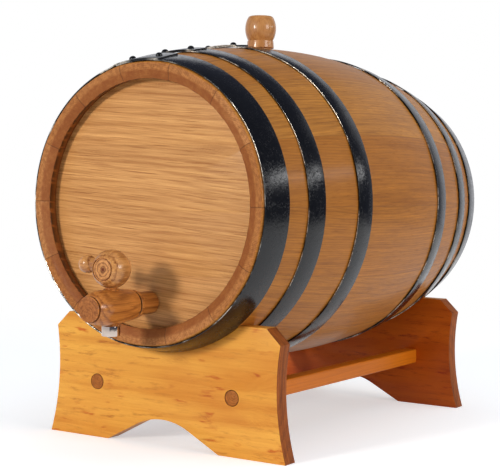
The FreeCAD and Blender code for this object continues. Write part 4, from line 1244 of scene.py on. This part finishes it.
def darken_grooves(piece, origin, axis, grooves):
    """Marks painted shade in turned grooves, each given by its two ends along the axis and its strength."""
    along = (point_array(piece.data) - np.array(origin)) @ np.array(axis)
    ease = 0.2 * MM
    stains = [((along > start - ease) & (along < end + ease)) * groove_shade for start, end, groove_shade in grooves]
    write_attribute(piece.data, "seam", "FLOAT", "POINT", np.max(stains, axis=0))


tap_face = Vector((0, HEAD_FRONT, TAP_AXIS_Z))
tap_body = turn("tap_body_shown", round_corners(tap_outline), tap_face, -TO_BACK)
flare = (KEY_TOP - KEY_BOTTOM) / (2 * BARREL_RADIUS) * OVERCUT
reach = BARREL_RADIUS + OVERCUT
key_hole = drill(-reach, reach, KEY_BOTTOM + KEY_EASE - flare, KEY_TOP + KEY_EASE + flare)
flow = drill(0, TAP_HIGH.y - KEY_AXIS.y + MM, FLOW_RADIUS)
cut_away(tap_body, turn("key_hole", key_hole, TAP_CROSSING, UP),
         turn("flow_hole", flow, TAP_CROSSING, TO_BACK, 32))
lay_grain(tap_body, 40, tap_face, -TO_BACK, UP)
# The turned grooves get painted shade, strongest in the one behind the ring.
grooves = (bead_end, barrel_start[0], 1.4), (barrel_end[0], nose_start, 0.3)
darken_grooves(tap_body, tap_face, -TO_BACK, grooves)
finish_piece(tap_body, tap_oak, "cask", "tap_oak", ["tap_body"])

# %% [markdown]
# ## Handle
#
# The tap's handle is a ball with a ringed flat on its front, where the grain of the whole ball
# gathers in one dark pith. A turned peg stands in its left side and gives the thumb something to push.

# %% Mark out the ball and its peg
BALL_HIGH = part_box("tap_handle")[1]
BALL_RADIUS = BALL_HIGH.x
BALL_CENTRE = Vector((0, BALL_HIGH.y - BALL_RADIUS, BALL_HIGH.z - BALL_RADIUS))
FLAT_RADIUS, RING_WIDTH, RING_DEPTH = 9.4 * MM, 1.0 * MM, 1.2 * MM
PEG_LOW, PEG_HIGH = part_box("tap_handle_peg")
PEG_RADIUS = (PEG_HIGH.z - PEG_LOW.z) / 2
PEG_AXIS = Vector((0, (PEG_LOW.y + PEG_HIGH.y) / 2, (PEG_LOW.z + PEG_HIGH.z) / 2))
PEG_NECK, PEG_END, PEG_TENON = 5.4 * MM, 5.0 * MM, 4.0 * MM
PEG_SEAT = math.sqrt(BALL_RADIUS ** 2 - (PEG_AXIS.z - BALL_CENTRE.z + PEG_NECK) ** 2)
KEY_TENON = 5.0 * MM
GLUE_EASE = 0.05 * MM


def ball_outline():
    flat = math.sqrt(BALL_RADIUS ** 2 - (FLAT_RADIUS + RING_WIDTH) ** 2)
    start = math.atan2(FLAT_RADIUS + RING_WIDTH, -flat)
    sweep = [start * (1 - step / 40) for step in range(1, 41)]
    corners = [(-flat - 0.2 * MM, 0.0, 0.0), (-flat, FLAT_RADIUS, 0.5 * MM),
               (RING_DEPTH - flat, FLAT_RADIUS + 0.1 * MM, 0.1 * MM),
               (RING_DEPTH - flat, FLAT_RADIUS + RING_WIDTH - 0.1 * MM, 0.1 * MM),
               (-flat, FLAT_RADIUS + RING_WIDTH, 0.3 * MM)]
    return corners + [(BALL_RADIUS * math.cos(a), BALL_RADIUS * math.sin(a), 0.0) for a in sweep]


def peg_outline():
    reach = -PEG_LOW.x
    shoulder = PEG_SEAT + GLUE_EASE
    middle = reach - math.sqrt(PEG_RADIUS ** 2 - PEG_END ** 2)
    neck = middle - math.sqrt(PEG_RADIUS ** 2 - PEG_NECK ** 2)
    start = math.atan2(PEG_NECK, neck - middle)
    end = math.atan2(PEG_END, reach - middle)
    sweep = [start + (end - start) * step / 20 for step in range(1, 20)]
    return [(-PEG_HIGH.x, 0.0, 0.0), (-PEG_HIGH.x, PEG_TENON, 0.4 * MM), (shoulder, PEG_TENON, 0.0),
            (shoulder, PEG_NECK, 0.3 * MM), (neck, PEG_NECK, 0.4 * MM),
            *((middle + PEG_RADIUS * math.cos(a), PEG_RADIUS * math.sin(a), 0.0) for a in sweep),
            (reach, PEG_END, 0.8 * MM), (reach, 0.0, 0.0)]


print("ball", round(2 * BALL_RADIUS / MM, 1), "mm, peg", round(2 * PEG_RADIUS / MM, 1), "mm across")

# %% Turn the ball and its peg
ball = turn("tap_handle_shown", round_corners(ball_outline()), BALL_CENTRE, TO_BACK)
tenon_hole = drill(0, KEY_HIGH.z + GLUE_EASE - TAP_AXIS_Z, KEY_TENON + GLUE_EASE)
peg_floor = -PEG_HIGH.x - GLUE_EASE
peg_hole = [(peg_floor, 0), (peg_floor, PEG_TENON + GLUE_EASE), (PEG_SEAT, PEG_TENON + GLUE_EASE),
            (PEG_SEAT, PEG_NECK + GLUE_EASE), (2 * BALL_RADIUS, PEG_NECK + GLUE_EASE), (2 * BALL_RADIUS, 0)]
cut_away(ball, turn("tenon_hole", tenon_hole, TAP_CROSSING, UP, 48),
         turn("peg_hole", peg_hole, PEG_AXIS, -TO_RIGHT, 48))
lay_grain(ball, 41, BALL_CENTRE, -TO_BACK, UP)
finish_piece(ball, ball_oak, "key", "tap_oak", ["tap_handle"])
peg = turn("tap_handle_peg_shown", round_corners(peg_outline()), PEG_AXIS, -TO_RIGHT, 64)
lay_grain(peg, 42, PEG_AXIS, -TO_RIGHT, UP)
finish_piece(peg, ball_oak, "key", "tap_oak", ["tap_handle_peg"])

# %% [markdown]
# ## Spout
#
# A short drawn tube is pressed on the foot of the key and turns with it. Its lower lip is bevelled, so
# that the last drop lets go.

# %% Turn the spout
SPOUT_LOW, SPOUT_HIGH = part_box("tap_spout")
SPOUT_RADIUS = (SPOUT_HIGH.x - SPOUT_LOW.x) / 2
length = SPOUT_HIGH.z - SPOUT_LOW.z
tube = [(length, KEY_BOTTOM, 0.2 * MM), (length, SPOUT_RADIUS, 0.4 * MM), (0.0, SPOUT_RADIUS, 0.6 * MM),
        (0.0, KEY_BOTTOM, 0.3 * MM)]
tube = round_corners(tube, closed=True)
spout = turn("tap_spout_shown", tube + tube[:1], KEY_AXIS + UP * SPOUT_LOW.z, UP)
finish_piece(spout, spout_aluminium, "key", "spout_aluminium", ["tap_spout"])

# %% [markdown]
# ## Bung
#
# The bung is one turning as well: a tapered shank that the cask's own damp keeps tight, a collar that
# stops it, and a knob like a small cask on top. The knob's crown is eased far more than its other
# corners, because that is where the palm rests, and takes the place of the arc's last three points.

# %% Turn the bung


def bow(start, end, rise, steps):
    """Corners on an arc between two points, its middle raised to the left of the way from start."""
    start, end = Vector(start), Vector(end)
    chord = end - start
    radius = chord.length ** 2 / (8 * rise) + rise / 2
    side = Vector((-chord.y, chord.x)).normalized()
    middle = (start + end) / 2 + side * (rise - radius)
    half = math.asin(chord.length / 2 / radius)
    ahead = chord.normalized()
    angles = [half * (2 * step / steps - 1) for step in range(1, steps)]
    spots = [middle + side * radius * math.cos(angle) + ahead * radius * math.sin(angle) for angle in angles]
    return [(spot.x, spot.y, 0.0) for spot in spots]


COLLAR_HEIGHT, BUNG_COLLAR = 7.2 * MM, 13.4 * MM
BUNG_NECK, BUNG_CROWN, CROWN_CORNERS = 12.0 * MM, 11.8 * MM, 3
KNOB_RADIUS = (BUNG_HIGH.x - BUNG_LOW.x) / 2
bung_height = BUNG_HIGH.z - BUNG_SEAT
knob_start, knob_end = (COLLAR_HEIGHT, BUNG_NECK), (bung_height, BUNG_CROWN)
bung_outline = [
    (-BUNG_SHANK, 0.0, 0.0),
    (-BUNG_SHANK, BUNG_TIP, 0.8 * MM),
    (0.0, BUNG_TOP, 0.0),
    (0.0, BUNG_COLLAR, 0.5 * MM),
    (COLLAR_HEIGHT, BUNG_COLLAR - 0.5 * MM, 0.8 * MM),
    (*knob_start, 0.1 * MM),
    *bow(knob_start, knob_end, KNOB_RADIUS - (BUNG_NECK + BUNG_CROWN) / 2, 24)[:-CROWN_CORNERS],
    (*knob_end, 3.2 * MM),
    (bung_height, 0.0, 0.0),
]
bung = turn("bung_shown", round_corners(bung_outline, steps=6), BUNG_AXIS + UP * BUNG_SEAT, UP)
lay_grain(bung, 43, BUNG_AXIS + UP * BUNG_SEAT, UP, TO_RIGHT)
finish_piece(bung, bung_oak, "stopper", "bung_oak", ["bung"])

# %% [markdown]
# ## Cradle
#
# The cradle's plates are sawn from pine board, rounded over by a router and stained. Their inner faces
# carry painted shade and the rails are a darker pine, both darker than the outer faces. The rails are
# square bars whose round tenons go right through the plates, where their ends show as two dark discs,
# ringed with painted shade.
# These outlines are already right in the frame, so a copy of each node is merged, its flat faces are
# joined back into whole ones, and only the rounding is new.

# %% Dress the plates
PLATE_ROUNDING = 1.8 * MM
FLAT_ANGLE = math.radians(0.4)
SAWN_FROM = 0.4
PLATES = "front_cradle_plate", "rear_cradle_plate"


def whole_faces(node):
    """A merged copy of a node, its flat faces joined back into whole ones."""
    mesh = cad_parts[node].data.copy()
    tidy_faces(mesh)
    with open_mesh(mesh) as work:
        bmesh.ops.dissolve_limit(work, angle_limit=FLAT_ANGLE, verts=work.verts, edges=work.edges)
    return link(node + "_shown", mesh)


for number, node in enumerate(PLATES, start=50):
    plate = whole_faces(node)
    round_edges(plate, PLATE_ROUNDING, 4, 35)
    low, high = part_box(node)
    lay_grain(plate, number, (low + high) / 2, TO_RIGHT, TO_BACK, SAWN_FROM)
    # Faces turned towards the cask are marked for painted shade.
    inwards = math.copysign(1, CENTRE.y - low.y)
    turned_in = [max(0.0, polygon.normal.y * inwards) for polygon in plate.data.polygons]
    write_attribute(plate.data, "inner", "FLOAT", "FACE", turned_in)
    finish_piece(plate, cradle_pine, "cradle", "cradle_pine", [node])

# %% Dress the rails
TENON_EASING = 0.8 * MM
RIM_STAIN = 1.35


def ease_ends(piece, low, high):
    """Rounds the edges of a rail's two ends."""
    with open_mesh(piece.data) as work:
        ends = [edge for edge in work.edges
                if all(min(vert.co.y - low, high - vert.co.y) < 0.01 * MM for vert in edge.verts)]
        bmesh.ops.bevel(work, geom=ends, offset=TENON_EASING, segments=3, affect="EDGES", profile=0.5)


for number, node in enumerate(("left_cradle_rail", "right_cradle_rail"), start=52):
    low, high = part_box(node)
    rail = whole_faces(node)
    ease_ends(rail, low.y, high.y)
    lay_grain(rail, number, (low + high) / 2, TO_BACK, UP)
    along = point_array(rail.data)[:, 1]
    depth = np.minimum(along - low.y, high.y - along)
    # The eased rim round each tenon end is darkened as painted shade where it meets the plate.
    rim = (depth > 0.05 * MM) & (depth < TENON_EASING + 0.1 * MM)
    write_attribute(rail.data, "seam", "FLOAT", "POINT", rim * RIM_STAIN)
    finish_piece(rail, rail_pine, "cradle", "rail_pine", [node])

# %% [markdown]
# ## Hidden pieces
#
# The key and the heads' pins stay as the frame made them. Only a thirsty restorer ever sees them, but
# they still get wood. All of them stand upright, so their wood reads the grain straight from Object
# coordinates and their meshes stay untouched.

# %% Finish the hidden nodes
for node, material in ("tap_key", key_oak), ("front_head_pins", pin_wood), ("rear_head_pins", pin_wood):
    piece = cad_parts[node]
    piece.data.materials.clear()
    piece.data.materials.append(material)
    print(f"{node}: kept, in {material.name}")

# %% Close the lesson
shown_box = [list(corner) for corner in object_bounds()]
print("sizes written:", cad_box, shown_box)
